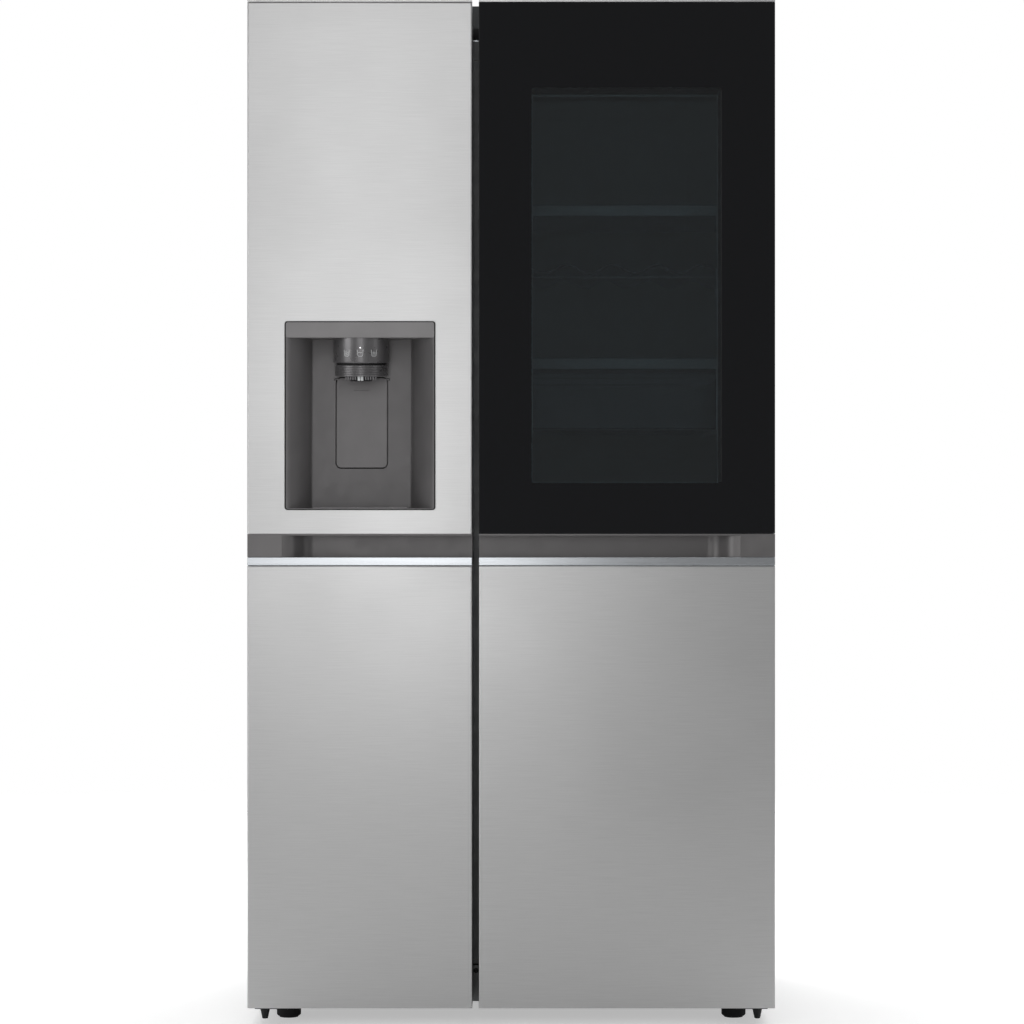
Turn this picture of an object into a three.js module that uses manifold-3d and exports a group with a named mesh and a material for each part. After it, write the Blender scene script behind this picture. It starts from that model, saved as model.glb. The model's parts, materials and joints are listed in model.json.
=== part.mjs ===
// Side by side refrigerator: freezer on the left with an ice and water dispenser in its door,
// fridge on the right with a glass door that has a window.
// Millimetres. +X is to the right, -Y to the front, +Z up. The floor is z = 0.

import * as THREE from 'three';
import { mergeVertices } from 'three/addons/utils/BufferGeometryUtils.js';
import Module from 'manifold-3d';

const wasm = await Module();
wasm.setup();

// ---------------------------------------------------------------- driving dimensions

const WIDTH = 913;              // over both doors
const DEPTH = 735;              // door front to rear panel
const HEIGHT = 1790;            // floor to the top of the hinge cover

const GAP = 0.3;                // between pieces that touch
const SHEET = 1.5;              // steel sheet
const PLASTIC = 3;              // wall of liners, bins and drawers

const CASE_WIDTH = 910;
const CASE_TOP = 1750;
const CASE_BOTTOM = 40;
const DOOR_THICKNESS = 105;     // without the gasket and the inner rim
const GASKET_SPACE = 10;        // from the back of the door to the front of the case

const DOOR_BOTTOM = 38;
const TRIM_BOTTOM = 803.5;
const TRIM_TOP = 818.3;
const GROOVE_TOP = 859;         // lower edge of the upper door panel
const DOOR_TOP = 1745;
const LIP_TOP = 1782.5;         // raised front edge of the door
const LIP_DEPTH = 22;
const GLASS_TOP = 1779;         // the frame's top strip shows above the glass
const GLASS = 4;

const FREEZER_EDGE = -67.5;     // free edge of the freezer door
const FRIDGE_EDGE = -56;        // free edge of the fridge door
const ROOM_OUTER = 402;         // outer side wall of both rooms, from the middle
const FREEZER_ROOM_EDGE = -86;
const FRIDGE_ROOM_EDGE = -38;
const ROOM_FLOOR = 110;
const ROOM_CEILING = 1690;
const ROOM_BACK = 290;
const STEP_FRONT = 165;         // the rooms step up here, over the machine room
const STEP_TOP = 300;

const HINGE_X = 430;            // door hinge axes, from the middle
const HINGE_Y = -310;
const PIN_RADIUS = 5;
const PIN_HOLE = 7;

const RIM_INSET = 13;           // raised rim of the door liner, inside the room's walls
const RIM_WIDTH = 18;
const RIM_HEIGHT = 34.5;
const GASKET_WIDTH = 16.5;
const BIN_REACH = 112.5;        // door bins, from the back of the door

const WINDOW_X = [35.1, 363.6];
const WINDOW_Z = [946.6, 1630.5];

const DISPENSER_X = [-392, -131];
const DISPENSER_Z = [898.2, 1226.8];
const NICHE_CEILING = 1198;
const NICHE_FLOOR = 903;
const NICHE_BACK_X = [-350, -173.5];
const NICHE_BACK_CORNER = 4;
const NICHE_BACK_TOP = 77;      // depth of the niche at its ceiling
const NICHE_BACK_BOTTOM = 62;   // and at its floor
const NOZZLE_RADIUS = 48.5;
const PAD_WIDTH = 88;
const PAD_HEIGHT = 155;
const PAD_TOP = 1129;
const PAD_THICKNESS = 4;
const PAD_CORNER = 8;
const PAD_GAP = 2;              // the dark line around the pad

const FOOT_X = 395;
const FOOT_Y = -215;
const FOOT_RADIUS = 21.5;
const ROLLER_X = 400;
const ROLLER_Y = 330;
const ROLLER_RADIUS = 20;

const MACHINE_FRONT = 188;      // machine room at the bottom rear
const MACHINE_TOP = 257;
const MACHINE_FLOOR = 42.3;     // on top of the base's floor sheet

const COVER_X = [-452, 452];    // hinge cover on top of the case
const COVER_REAR = -130;
const COVER_NOSE = 22;
const HINGE_ARM = 16;           // half the width of the upper hinge arms
const MULLION_DEPTH = 14;
const TRIM_DEPTH = 10.5;
const OPENING_CORNER = 5;       // corners of the dispenser's opening

// Levels of the inner pieces, bottom and top of each
const FRIDGE_SHELF_UPPER = [1436, 1444];
const RACK = [1325, 1345];
const FRIDGE_SHELF_MIDDLE = [1160, 1168];
const UTILITY_BOX = [1045, 1148];
const CRISPER_SHELF = [640, 648];
const CRISPER_UPPER = [385, 632];
const CRISPER_LOWER = [115, 375];
const FREEZER_SHELF_UPPER = [1000, 1008];
const FREEZER_SHELF_LOWER = [640, 648];
const FREEZER_DRAWER_UPPER = [345, 632];
const FREEZER_DRAWER_LOWER = [115, 335];
const ICE_BIN = [1250, 1600];
const FREEZER_BIN = [300, 430];
const FRIDGE_BIN_UPPER = [505, 630];
const FRIDGE_BIN_LOWER = [220, 350];

const SHELF_FRONT = -125;
const FREEZER_SHELF_FRONT = -95;
const DRAWER_FRONT = -120;
const DUCT_FRONT = 222;         // freezer duct cover
const SHELF_BACK = 268;

// ---------------------------------------------------------------- derived places

const FRONT = -DEPTH / 2;
const REAR = DEPTH / 2;
const DOOR_BACK = FRONT + DOOR_THICKNESS;
const CASE_FRONT = DOOR_BACK + GASKET_SPACE;
const CASE_X = [-CASE_WIDTH / 2, CASE_WIDTH / 2];
const ROOM_Z = [ROOM_FLOOR, ROOM_CEILING];
const INNER_REAR = REAR - SHEET - 2 * GAP;

const FREEZER = {
  side: -1,
  door: [-WIDTH / 2, FREEZER_EDGE],
  room: [-ROOM_OUTER, FREEZER_ROOM_EDGE],
  drawer: [-372, -96],
  bin: [-370.6, -127],
  shelfBack: DUCT_FRONT - GAP,
};
const FRIDGE = {
  side: 1,
  door: [FRIDGE_EDGE, WIDTH / 2],
  room: [FRIDGE_ROOM_EDGE, ROOM_OUTER],
  drawer: [-26, 372],
  bin: [-5, 370.6],
  shelfBack: SHELF_BACK,
};

// ---------------------------------------------------------------- materials

const finish = (color, roughness, metalness = 0, opacity = 1) => new THREE.MeshStandardMaterial({
  color, roughness, metalness, opacity, transparent: opacity < 1,
});

const silverPaint = finish(0xcfcfce, 0.35, 0.6);
const blackGlass = finish(0x1e2024, 0.08);
const clearGlass = finish(0xc8d2d4, 0.05, 0, 0.4);
const chrome = finish(0xd8dade, 0.15, 1);
const pocketPlastic = finish(0x4f4b49, 0.5);
const dispenserPlastic = finish(0x757473, 0.45, 0.2);
const nozzlePlastic = finish(0x3c3b3c, 0.4);
const casePaint = finish(0x6d6e70, 0.45, 0.5);
const coverPlastic = finish(0x3a3b3d, 0.55);
const whitePlastic = finish(0xeceeee, 0.4);
const clearPlastic = finish(0xdfe8ea, 0.15, 0, 0.5);
const foam = finish(0xe8dcae, 0.95);
const rubber = finish(0x5c5d5f, 0.85);
const blackRubber = finish(0x1a1a1b, 0.85);
const zincSteel = finish(0xa9abad, 0.4, 0.9);
const blackSteel = finish(0x17181a, 0.5, 0.6);
const aluminium = finish(0xb9bcbf, 0.35, 0.9);

// ---------------------------------------------------------------- shape helpers

// A closed geometry as a solid that can be joined and cut
function solid(geometry) {
  const plain = geometry.clone();
  plain.deleteAttribute('normal');
  plain.deleteAttribute('uv');
  const merged = mergeVertices(plain, 1e-3);
  const corners = merged.index.array;
  const triVerts = [];
  for (let i = 0; i < corners.length; i += 3) {
    const [a, b, c] = [corners[i], corners[i + 1], corners[i + 2]];
    if (a !== b && b !== c && c !== a) {
      triVerts.push(a, b, c);
    }
  }
  return new wasm.Manifold(new wasm.Mesh({
    numProp: 3,
    vertProperties: merged.attributes.position.array,
    triVerts: new Uint32Array(triVerts),
  }));
}

function geometryOf(shape) {
  const { vertProperties, triVerts } = shape.getMesh();
  const geometry = new THREE.BufferGeometry();
  geometry.setAttribute('position', new THREE.BufferAttribute(vertProperties, 3));
  geometry.setIndex(new THREE.BufferAttribute(triVerts, 1));
  geometry.computeVertexNormals();
  return geometry;
}

const join = (shapes) => shapes.reduce((sum, shape) => sum.add(shape));
const cut = (shape, cutters) => cutters.reduce((rest, cutter) => rest.subtract(cutter), shape);
const middle = ([from, to]) => (from + to) / 2;
const grow = ([from, to], by) => [from - by, to + by];

// A box between two values on each axis
function block(xs, ys, zs) {
  const geometry = new THREE.BoxGeometry(xs[1] - xs[0], ys[1] - ys[0], zs[1] - zs[0]);
  return solid(geometry.translate(middle(xs), middle(ys), middle(zs)));
}

// A rectangular ring: a box with a smaller one cut out along Y
function ring(xs, ys, zs, width) {
  return block(xs, ys, zs).subtract(block(grow(xs, -width), grow(ys, 1), grow(zs, -width)));
}

// An outline drawn across an axis and pushed along it.
// Across X it is drawn in (y, z), across Y in (x, z), across Z in (x, y).
function extruded(axis, outline, [from, to], curveSegments = 6) {
  const points = () => outline.map(([u, v]) => new THREE.Vector2(u, v));
  const shape = Array.isArray(outline) ? new THREE.Shape(points()) : outline;
  const settings = { depth: to - from, bevelEnabled: false, curveSegments };
  const geometry = new THREE.ExtrudeGeometry(shape, settings);
  const x = new THREE.Vector3(1, 0, 0);
  const y = new THREE.Vector3(0, 1, 0);
  const z = new THREE.Vector3(0, 0, 1);
  const front = new THREE.Vector3(0, -1, 0);
  const turns = { X: [y, z, x, from, 0, 0], Y: [x, z, front, 0, to, 0], Z: [x, y, z, 0, 0, from] };
  const [u, v, w, dx, dy, dz] = turns[axis];
  geometry.applyMatrix4(new THREE.Matrix4().makeBasis(u, v, w));
  return solid(geometry.translate(dx, dy, dz));
}

// A round rod along an axis; the centre is given on the two other axes
function rod(axis, [u, v], radius, [from, to], sides = 20) {
  const geometry = new THREE.CylinderGeometry(radius, radius, to - from, sides);
  const along = middle([from, to]);
  if (axis === 'X') {
    return solid(geometry.rotateZ(Math.PI / 2).translate(along, u, v));
  }
  if (axis === 'Y') {
    return solid(geometry.translate(u, along, v));
  }
  return solid(geometry.rotateX(Math.PI / 2).translate(u, v, along));
}

// A profile of (radius, height) turned about a vertical axis
function turned(profile, [x, y] = [0, 0], sides = 24) {
  const points = profile.map(([radius, height]) => new THREE.Vector2(radius, height));
  const geometry = new THREE.LatheGeometry(points, sides).rotateX(Math.PI / 2);
  return solid(geometry.translate(x, y, 0));
}

function roundedRectangle([x0, x1], [y0, y1], radius) {
  const shape = new THREE.Shape();
  shape.absarc(x1 - radius, y1 - radius, radius, 0, Math.PI / 2);
  shape.absarc(x0 + radius, y1 - radius, radius, Math.PI / 2, Math.PI);
  shape.absarc(x0 + radius, y0 + radius, radius, Math.PI, 1.5 * Math.PI);
  shape.absarc(x1 - radius, y0 + radius, radius, 1.5 * Math.PI, 2 * Math.PI);
  return shape;
}

// ---------------------------------------------------------------- placing

const appliance = new THREE.Group();
appliance.name = 'side_by_side_refrigerator';

// The group of a moving body, at a point on its axis
function bodyAt(parent, x, y, z) {
  const group = new THREE.Group();
  parent.updateWorldMatrix(true, false);
  group.position.copy(parent.worldToLocal(new THREE.Vector3(x, y, z)));
  parent.add(group);
  group.updateWorldMatrix(true, false);
  return group;
}

// Adds a shape, given in the appliance's frame, to a group
function place(group, name, shape, material) {
  group.updateWorldMatrix(true, false);
  const geometry = geometryOf(shape).applyMatrix4(group.matrixWorld.clone().invert());
  const mesh = new THREE.Mesh(geometry, material);
  mesh.name = name;
  group.add(mesh);
}

// ---------------------------------------------------------------- cabinet

function cabinetShell() {
  const zs = [CASE_BOTTOM, CASE_TOP];
  const outside = block(CASE_X, [CASE_FRONT, INNER_REAR], zs);
  const inside = block(grow(CASE_X, -SHEET), [CASE_FRONT + SHEET, REAR], [0, CASE_TOP - SHEET]);
  const mouthX = [-ROOM_OUTER - PLASTIC - GAP, ROOM_OUTER + PLASTIC + GAP];
  const mouth = block(mouthX, [FRONT, 0], grow(ROOM_Z, PLASTIC + GAP));
  return cut(outside, [inside, mouth]);
}

function backPanel() {
  return block(CASE_X, [REAR - SHEET, REAR], [MACHINE_TOP + 3, CASE_TOP]);
}

// The base: a floor sheet with a step over the machine room, and brackets for the rear rollers
function baseFrame() {
  const xs = grow(CASE_X, -SHEET - GAP);
  const frontY = CASE_FRONT + SHEET + GAP;
  const floor = block(xs, [frontY, INNER_REAR - GAP], [CASE_BOTTOM, CASE_BOTTOM + 2]);
  const riser = block(xs, [MACHINE_FRONT - 2, MACHINE_FRONT], [CASE_BOTTOM, MACHINE_TOP]);
  const roof = block(xs, [MACHINE_FRONT - 2, INNER_REAR - GAP], [MACHINE_TOP - 2, MACHINE_TOP]);
  const reach = 14;
  const plateYs = grow([ROLLER_Y, ROLLER_Y], 16);
  const brackets = [-ROLLER_X, ROLLER_X].flatMap((x) => {
    const axle = rod('X', [ROLLER_Y, ROLLER_RADIUS], 4, [x - reach, x + reach], 12);
    const left = block([x - reach, x - reach + 2], plateYs, [8, CASE_BOTTOM + 1]);
    const right = block([x + reach - 2, x + reach], plateYs, [8, CASE_BOTTOM + 1]);
    return [axle, left, right];
  });
  return join([floor, riser, roof, ...brackets]);
}

// Outline of a room in (y, z), with its wall grown by a margin; it is open to the front
function roomOutline(margin) {
  const [floor, ceiling] = grow(ROOM_Z, margin);
  const slope = 30;
  return [
    [CASE_FRONT - (margin ? 0 : 1), floor],
    [STEP_FRONT + margin, floor],
    [STEP_FRONT + margin, STEP_TOP - slope - margin / 2],
    [STEP_FRONT + slope + margin / 2, STEP_TOP - margin],
    [ROOM_BACK + margin, STEP_TOP - margin],
    [ROOM_BACK + margin, ceiling],
    [CASE_FRONT - (margin ? 0 : 1), ceiling],
  ];
}

// A pair of ledges on the side walls, under a piece whose bottom is at z
function ledges(room, reach, z, depth) {
  const zs = [z - 8 - GAP, z - GAP];
  const ys = [SHELF_FRONT + 25, depth];
  return [
    block([room[0] - 1, room[0] + reach[0]], ys, zs),
    block([room[1] - reach[1], room[1] + 1], ys, zs),
  ];
}

function roomLiner({ room, drawer, shelfBack }, shelves, drawers) {
  const shell = extruded('X', roomOutline(PLASTIC), grow(room, PLASTIC));
  const hollow = extruded('X', roomOutline(0), room);
  const runnerReach = [drawer[0] - room[0] + 10, room[1] - drawer[1] + 10];
  const shelfLedges = shelves.flatMap(([z]) => ledges(room, [10, 10], z, shelfBack - 10));
  const runners = drawers.flatMap(([z]) => ledges(room, runnerReach, z, STEP_FRONT - 20));
  return join([shell.subtract(hollow), ...shelfLedges, ...runners]);
}

function cabinetFoam() {
  const room = grow(CASE_X, -SHEET - GAP);
  const frontY = CASE_FRONT + SHEET + GAP;
  const whole = block(room, [frontY, INNER_REAR - GAP], [CASE_BOTTOM + 2 + GAP, CASE_TOP - SHEET - GAP]);
  const rooms = [FREEZER, FRIDGE].map(({ room: xs }) => (
    extruded('X', roomOutline(PLASTIC + GAP), grow(xs, PLASTIC + GAP))));
  const machineRoom = block(CASE_X, [MACHINE_FRONT - 2 - GAP, REAR], [0, MACHINE_TOP + GAP]);
  return cut(whole, [...rooms, machineRoom, mullion(GAP)]);
}

// The heated bar between the two rooms
function mullion(margin) {
  const xs = grow([FREEZER_ROOM_EDGE, FRIDGE_ROOM_EDGE], margin - PLASTIC - GAP);
  const ys = grow([CASE_FRONT, CASE_FRONT + MULLION_DEPTH], margin);
  return block(xs, ys, grow(ROOM_Z, PLASTIC + margin));
}

function mullionBar() {
  const xs = grow([FREEZER_ROOM_EDGE, FRIDGE_ROOM_EDGE], -PLASTIC - GAP - SHEET);
  return mullion(0).subtract(block(xs, [CASE_FRONT + SHEET, 0], [0, CASE_TOP]));
}

// The cover over both upper hinges, with a round nose over each
function topCover() {
  const wall = 2.5;
  const ys = [CASE_FRONT + 2.5, COVER_REAR];
  const outline = (inset, zs) => {
    const bar = block(grow(COVER_X, -inset), grow(ys, -inset), zs);
    const radius = COVER_NOSE - inset;
    const noses = [-HINGE_X, HINGE_X].flatMap((x) => [
      rod('Z', [x, HINGE_Y], radius, zs, 32),
      block([x - radius, x + radius], [HINGE_Y, ys[0] + 2 * inset], zs),
    ]);
    return join([bar, ...noses]);
  };
  const outside = outline(0, [CASE_TOP + GAP, HEIGHT]);
  return outside.subtract(outline(wall, [CASE_TOP - 1, HEIGHT - wall]));
}

// Fixed on the case: an arm over the door with the pin that the door turns on
function upperHinge(x) {
  const zs = [CASE_TOP + GAP, CASE_TOP + 4 + GAP];
  const arm = block([x - HINGE_ARM, x + HINGE_ARM], [HINGE_Y, COVER_REAR - 20], zs);
  const nose = rod('Z', [x, HINGE_Y], HINGE_ARM, zs);
  const pin = rod('Z', [x, HINGE_Y], PIN_RADIUS, [DOOR_TOP - 20, zs[1]], 16);
  const screws = [-170, -205, -232].map((y) => rod('Z', [x, y], 6, [zs[0], zs[1] + 4], 8));
  return join([arm, nose, pin, ...screws]);
}

// Fixed under the case: a plate with the lower pin, its cone below, and the seat of the foot
function lowerHinge(side) {
  const pinX = side * HINGE_X;
  const footX = side * FOOT_X;
  const xs = [Math.min(pinX - 17, footX - 7), Math.max(pinX + 17, footX + 7)];
  const plate = block(xs, [HINGE_Y - 15, -185], [30, 36]);
  const seat = block(xs, [-248, -185], [30, CASE_BOTTOM - GAP]);
  const profile = [[0, 12], [5, 12], [9, 30.5], [9, 31], [PIN_RADIUS, 31], [PIN_RADIUS, 60], [0, 60]];
  const pin = turned(profile, [pinX, HINGE_Y], 20);
  const thread = rod('Z', [footX, FOOT_Y], 5.6, [0, CASE_TOP], 16);
  return join([plate, seat, pin]).subtract(thread);
}

function levellingFoot() {
  return turned([[0, 0], [17, 0], [17, 2], [FOOT_RADIUS - 2, 2.5], [FOOT_RADIUS, 5], [FOOT_RADIUS, 17],
    [FOOT_RADIUS - 3, 20], [5, 20], [5, 39], [0, 39]]);
}

function rearRoller() {
  return rod('X', [0, 0], ROLLER_RADIUS, [-10, 10], 32).subtract(rod('X', [0, 0], 4.4, [-11, 11], 12));
}

// ---------------------------------------------------------------- cold circuit and machine room

// A block of thin fins with an open slot between them
function finned(xs, ys, zs, fins) {
  const whole = block(xs, ys, zs);
  const pitch = (xs[1] - xs[0]) / fins;
  const slots = Array.from({ length: fins - 1 }, (_, i) => {
    const x = xs[0] + pitch * (i + 1);
    return block([x - pitch / 3, x + pitch / 3], [ys[0] - 1, ys[1] - 12], grow(zs, 1));
  });
  return cut(whole, slots);
}

// Fan blades on a hub about the Z axis, with a hole for the motor shaft
function fanWheel(radius, height, blades) {
  const hub = rod('Z', [0, 0], 15, [0, height], 20);
  const vanes = Array.from({ length: blades }, (_, i) => {
    const vane = new THREE.BoxGeometry(radius - 12, 2, height * 1.3);
    vane.rotateX(0.9).translate(12 + (radius - 12) / 2, 0, height / 2).rotateZ((2 * Math.PI * i) / blades);
    return solid(vane);
  });
  return join([hub, ...vanes]).subtract(rod('Z', [0, 0], 3.4, [-1, height + 1], 10));
}

const EVAPORATOR_FAN = { x: -244, y: 262, z: 985, radius: 55 };
const CONDENSER_FAN = { x: -22, y: 272, z: 125, radius: 60, shroudX: [-29, -26] };
const COMPRESSOR = { x: 215, y: 272 };

function evaporator() {
  const coil = finned([-380, -108], [235, ROOM_BACK - GAP], [400, 880], 18);
  const { x, y, z } = EVAPORATOR_FAN;
  const bracket = block([x - 24, x + 24], [ROOM_BACK - 5, ROOM_BACK - GAP], [870, z + 24]);
  const motor = rod('Y', [x, z], 22, [y + 4, ROOM_BACK - 4]);
  const shaft = rod('Y', [x, z], 3, [y - 20, y + 5], 10);
  return join([coil, bracket, motor, shaft]);
}

function condenser() {
  const { y, z, radius, shroudX } = CONDENSER_FAN;
  const coil = finned([-330, -90], [210, 345], [MACHINE_FLOOR, 200], 14);
  const foot = block([-331, shroudX[1]], [210, 335], [MACHINE_FLOOR, MACHINE_FLOOR + 3]);
  const shroud = block(shroudX, grow([y, y], 70), [MACHINE_FLOOR, 202]);
  const hole = rod('X', [y, z], radius + 6, grow(shroudX, 5), 32);
  const arm = block(shroudX, grow([y, y], 68), [z - 6, z + 6]);
  const motor = rod('X', [y, z], 16, [shroudX[0] - 21, shroudX[1] - 0.5]);
  const shaft = rod('X', [y, z], 3, [shroudX[1] - 1, 4], 10);
  return join([coil, foot, shroud.subtract(hole), arm, motor, shaft]);
}

function compressor() {
  const { x, y } = COMPRESSOR;
  const lowerHalf = [[0, 52], [60, 52], [70, 66], [70, 110], [74, 112]];
  const upperHalf = [[74, 118], [70, 120], [70, 168], [52, 192], [0, 200]];
  const pot = turned([...lowerHalf, ...upperHalf], [x, y]);
  const plate = block(grow([x, x], 88), grow([y, y], 62), [51, 54]);
  const foot = (dx, dy) => rod('Z', [x + dx, y + dy], 10, [MACHINE_FLOOR, 52], 10);
  return join([pot, plate, foot(-76, -50), foot(76, -50), foot(-76, 50), foot(76, 50)]);
}

const CORD_OUTLET = { x: -395, z: 120 };

// The slotted cover of the machine room, with a sleeve for the mains cord pressed into it
function machineRoomCover() {
  const plate = block([-450, 450], [REAR - SHEET, REAR], [MACHINE_FLOOR, MACHINE_TOP + 2]);
  const columns = Array.from({ length: 9 }, (_, i) => -320 + i * 80);
  const slotAt = (x, z) => block([x - 30, x + 30], [0, REAR + 1], [z - 5, z + 5]);
  const slots = [70, 140, 210].flatMap((z) => columns.map((x) => slotAt(x, z)));
  const { x, z } = CORD_OUTLET;
  const sleeve = rod('Y', [x, z], 10, [REAR - 12, REAR], 20);
  return cut(plate.add(sleeve), [...slots, rod('Y', [x, z], 9, [0, REAR + 1], 20)]);
}

// ---------------------------------------------------------------- inside the rooms

function freezerDuctCover() {
  const xs = grow(FREEZER.room, -0.4);
  const plate = block(xs, [DUCT_FRONT, DUCT_FRONT + PLASTIC], [STEP_TOP + GAP, ROOM_CEILING - GAP]);
  const vents = [1560, 1240, 760].flatMap((z) => [-1, 0, 1].map((i) => {
    const x = middle(FREEZER.room) + i * 80;
    return block([x - 28, x + 28], [0, ROOM_BACK], [z - 7, z + 7]);
  }));
  return cut(plate, vents);
}

// A shallow hood on the rear wall, with three vents below the upper shelf
function fridgeDuctCover() {
  const xs = [30, 335];
  const zs = [1000, 1650];
  const hood = block(xs, [272, ROOM_BACK - GAP], zs);
  const hollow = block(grow(xs, -PLASTIC), [272 + PLASTIC, ROOM_BACK], grow(zs, -PLASTIC));
  const vents = [[54, 108], [172, 197], [259, 311]].map((vent) => block(vent, [0, 280], [1424, 1434]));
  return cut(hood, [hollow, ...vents]);
}

// A glass shelf with a deeper strip along its front
function shelf({ room, shelfBack }, zs, front) {
  const xs = grow(room, -0.4);
  const plate = block(xs, [front, shelfBack], zs);
  const strip = block(grow(xs, -11), [front, front + 12], grow(zs, 7));
  return plate.add(strip);
}

// Waves that hold bottles on their side, with a flat strip on each ledge and a wire in front
function wineRack() {
  const thickness = 4;
  const [low, high] = RACK;
  const waves = 5;
  const steps = 8;
  const [left, right] = grow(FRIDGE.room, -16);
  const height = (i) => low + (high - low - thickness) * 0.5 * (1 - Math.cos((2 * Math.PI * i) / steps));
  const top = Array.from({ length: waves * steps + 1 }, (_, i) => (
    [left + ((right - left) * i) / (waves * steps), height(i) + thickness]));
  const bottom = top.map(([x, z]) => [x, z - thickness]).reverse();
  const ys = [SHELF_FRONT + 8, 250];
  const sides = [0, 1].map((end) => {
    const wall = FRIDGE.room[end] + (end ? -0.4 : 0.4);
    const edge = end ? right - 1 : left + 1;
    return block([Math.min(wall, edge), Math.max(wall, edge)], ys, [low, low + thickness]);
  });
  const armYs = [SHELF_FRONT, ys[0] + 20];
  const arms = [left + 4, right - 4].map((x) => block([x - 2, x + 2], armYs, [low - 7, low + 2]));
  const wire = rod('X', [SHELF_FRONT + 2, low - 5], 2, [left, right], 10);
  return join([extruded('Y', [...bottom, ...top], ys), ...sides, ...arms, wire]);
}

// A box that is open at the top
function openBox(xs, ys, zs, wall = PLASTIC) {
  return block(xs, ys, zs).subtract(block(grow(xs, -wall), grow(ys, -wall), [zs[0] + wall, zs[1] + 1]));
}

// A drawer: an open box behind a thicker front with a grip along its top
function drawer(xs, zs, back) {
  const tub = openBox(xs, [DRAWER_FRONT + 1, back], [zs[0], zs[1] - 12]);
  const face = block(xs, [DRAWER_FRONT, DRAWER_FRONT + 9], zs);
  const grip = block(grow(xs, -60), [DRAWER_FRONT - 7, DRAWER_FRONT + 1], [zs[1] - 22, zs[1] - 10]);
  return join([tub, face, grip]);
}

// ---------------------------------------------------------------- doors

// A painted door skin: front and both side returns, bent from one sheet
function wrappedPanel(xs, zs) {
  const outside = block(xs, [FRONT, DOOR_BACK - 6], zs);
  return outside.subtract(block(grow(xs, -SHEET), [FRONT + SHEET, 0], grow(zs, 1)));
}

// The hollow front edge that stands up above the door's top
function topLip(xs) {
  const ys = [FRONT, FRONT + LIP_DEPTH];
  const hollow = block(grow(xs, -SHEET), grow(ys, -SHEET), [0, LIP_TOP - SHEET]);
  return block(xs, ys, [DOOR_TOP, LIP_TOP]).subtract(hollow);
}

function dispenserOpening() {
  const shape = roundedRectangle(DISPENSER_X, DISPENSER_Z, OPENING_CORNER);
  return extruded('Y', shape, [FRONT - 1, FRONT + 10], 3);
}

function freezerUpperPanel() {
  const skin = wrappedPanel(FREEZER.door, [GROOVE_TOP, DOOR_TOP]).add(topLip(FREEZER.door));
  return skin.subtract(dispenserOpening());
}

const lowerPanel = ({ door }) => wrappedPanel(door, [DOOR_BOTTOM, TRIM_BOTTOM]);

function fridgeGlass() {
  return block(FRIDGE.door, [FRONT, FRONT + GLASS], [GROOVE_TOP, GLASS_TOP]);
}

// The metal frame behind the glass: side returns, a front sheet with a strip over the glass,
// and the walls of the window
function fridgeFrame() {
  const front = FRONT + GLASS + GAP;
  const skin = wrappedPanel(FRIDGE.door, [GROOVE_TOP, DOOR_TOP]).add(topLip(FRIDGE.door));
  const inFrontOfIt = block(grow(FRIDGE.door, 1), [FRONT - 1, front], [0, HEIGHT]);
  const sheet = block(grow(FRIDGE.door, -0.5), [front, front + SHEET], [GROOVE_TOP, LIP_TOP - SHEET]);
  const strip = block(FRIDGE.door, [FRONT, front + SHEET], [GLASS_TOP + GAP, LIP_TOP]);
  const tunnel = block(grow(WINDOW_X, SHEET), [front, DOOR_BACK - PLASTIC - GAP], grow(WINDOW_Z, SHEET));
  const window = block(WINDOW_X, [FRONT, DOOR_BACK], WINDOW_Z);
  return cut(join([skin.subtract(inFrontOfIt), sheet, strip, tunnel]), [window]);
}

function windowPane() {
  return block(grow(WINDOW_X, -GAP), [DOOR_BACK - 15, DOOR_BACK - PLASTIC - 2 * GAP], grow(WINDOW_Z, -GAP));
}

function trimBar(xs) {
  return block(xs, [FRONT, FRONT + TRIM_DEPTH], [TRIM_BOTTOM + GAP, TRIM_TOP]);
}

const POCKET = { back: FRONT + 67.5, bottom: TRIM_BOTTOM + GAP, depth: 38, flush: 60, bend: 56, wall: 3 };

// The finger groove across the door: it starts with a soft bend beside a flush end near the
// hinge, runs out at the free edge, and reaches down behind the trim
function handlePocket({ side, door }) {
  const top = GROOVE_TOP - GAP;
  const body = block(door, [FRONT + 0.2, POCKET.back], [POCKET.bottom, top]);
  const trimSpace = block(grow(door, 1), [FRONT - 1, FRONT + TRIM_DEPTH + GAP], [0, TRIM_TOP + GAP]);
  const outer = side < 0 ? door[0] : door[1];
  const free = side < 0 ? door[1] + 1 : door[0] - 1;
  const start = outer - side * POCKET.flush;
  const bend = start - side * POCKET.bend;
  const floorY = FRONT + POCKET.depth;
  const scoop = new THREE.Shape();
  scoop.moveTo(start, FRONT - 1);
  scoop.lineTo(start, FRONT + 1);
  scoop.bezierCurveTo(start - side * 30, FRONT + 2, bend + side * 30, floorY, bend, floorY);
  scoop.lineTo(free, floorY);
  scoop.lineTo(free, FRONT - 1);
  scoop.closePath();
  const groove = extruded('Z', scoop, [POCKET.bottom + POCKET.wall, top - POCKET.wall], 8);
  return cut(body, [trimSpace, groove]);
}

// Pin holes at the top and the bottom of a door
function pinHoles(side, radius) {
  const at = [side * HINGE_X, HINGE_Y];
  return [
    rod('Z', at, radius, [0, 64], 16),
    rod('Z', at, radius, [DOOR_TOP - 24, HEIGHT], 16),
  ];
}

const rimX = (room) => grow(room, -RIM_INSET);
const RIM_Z = grow(ROOM_Z, -RIM_INSET - 1);

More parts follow.
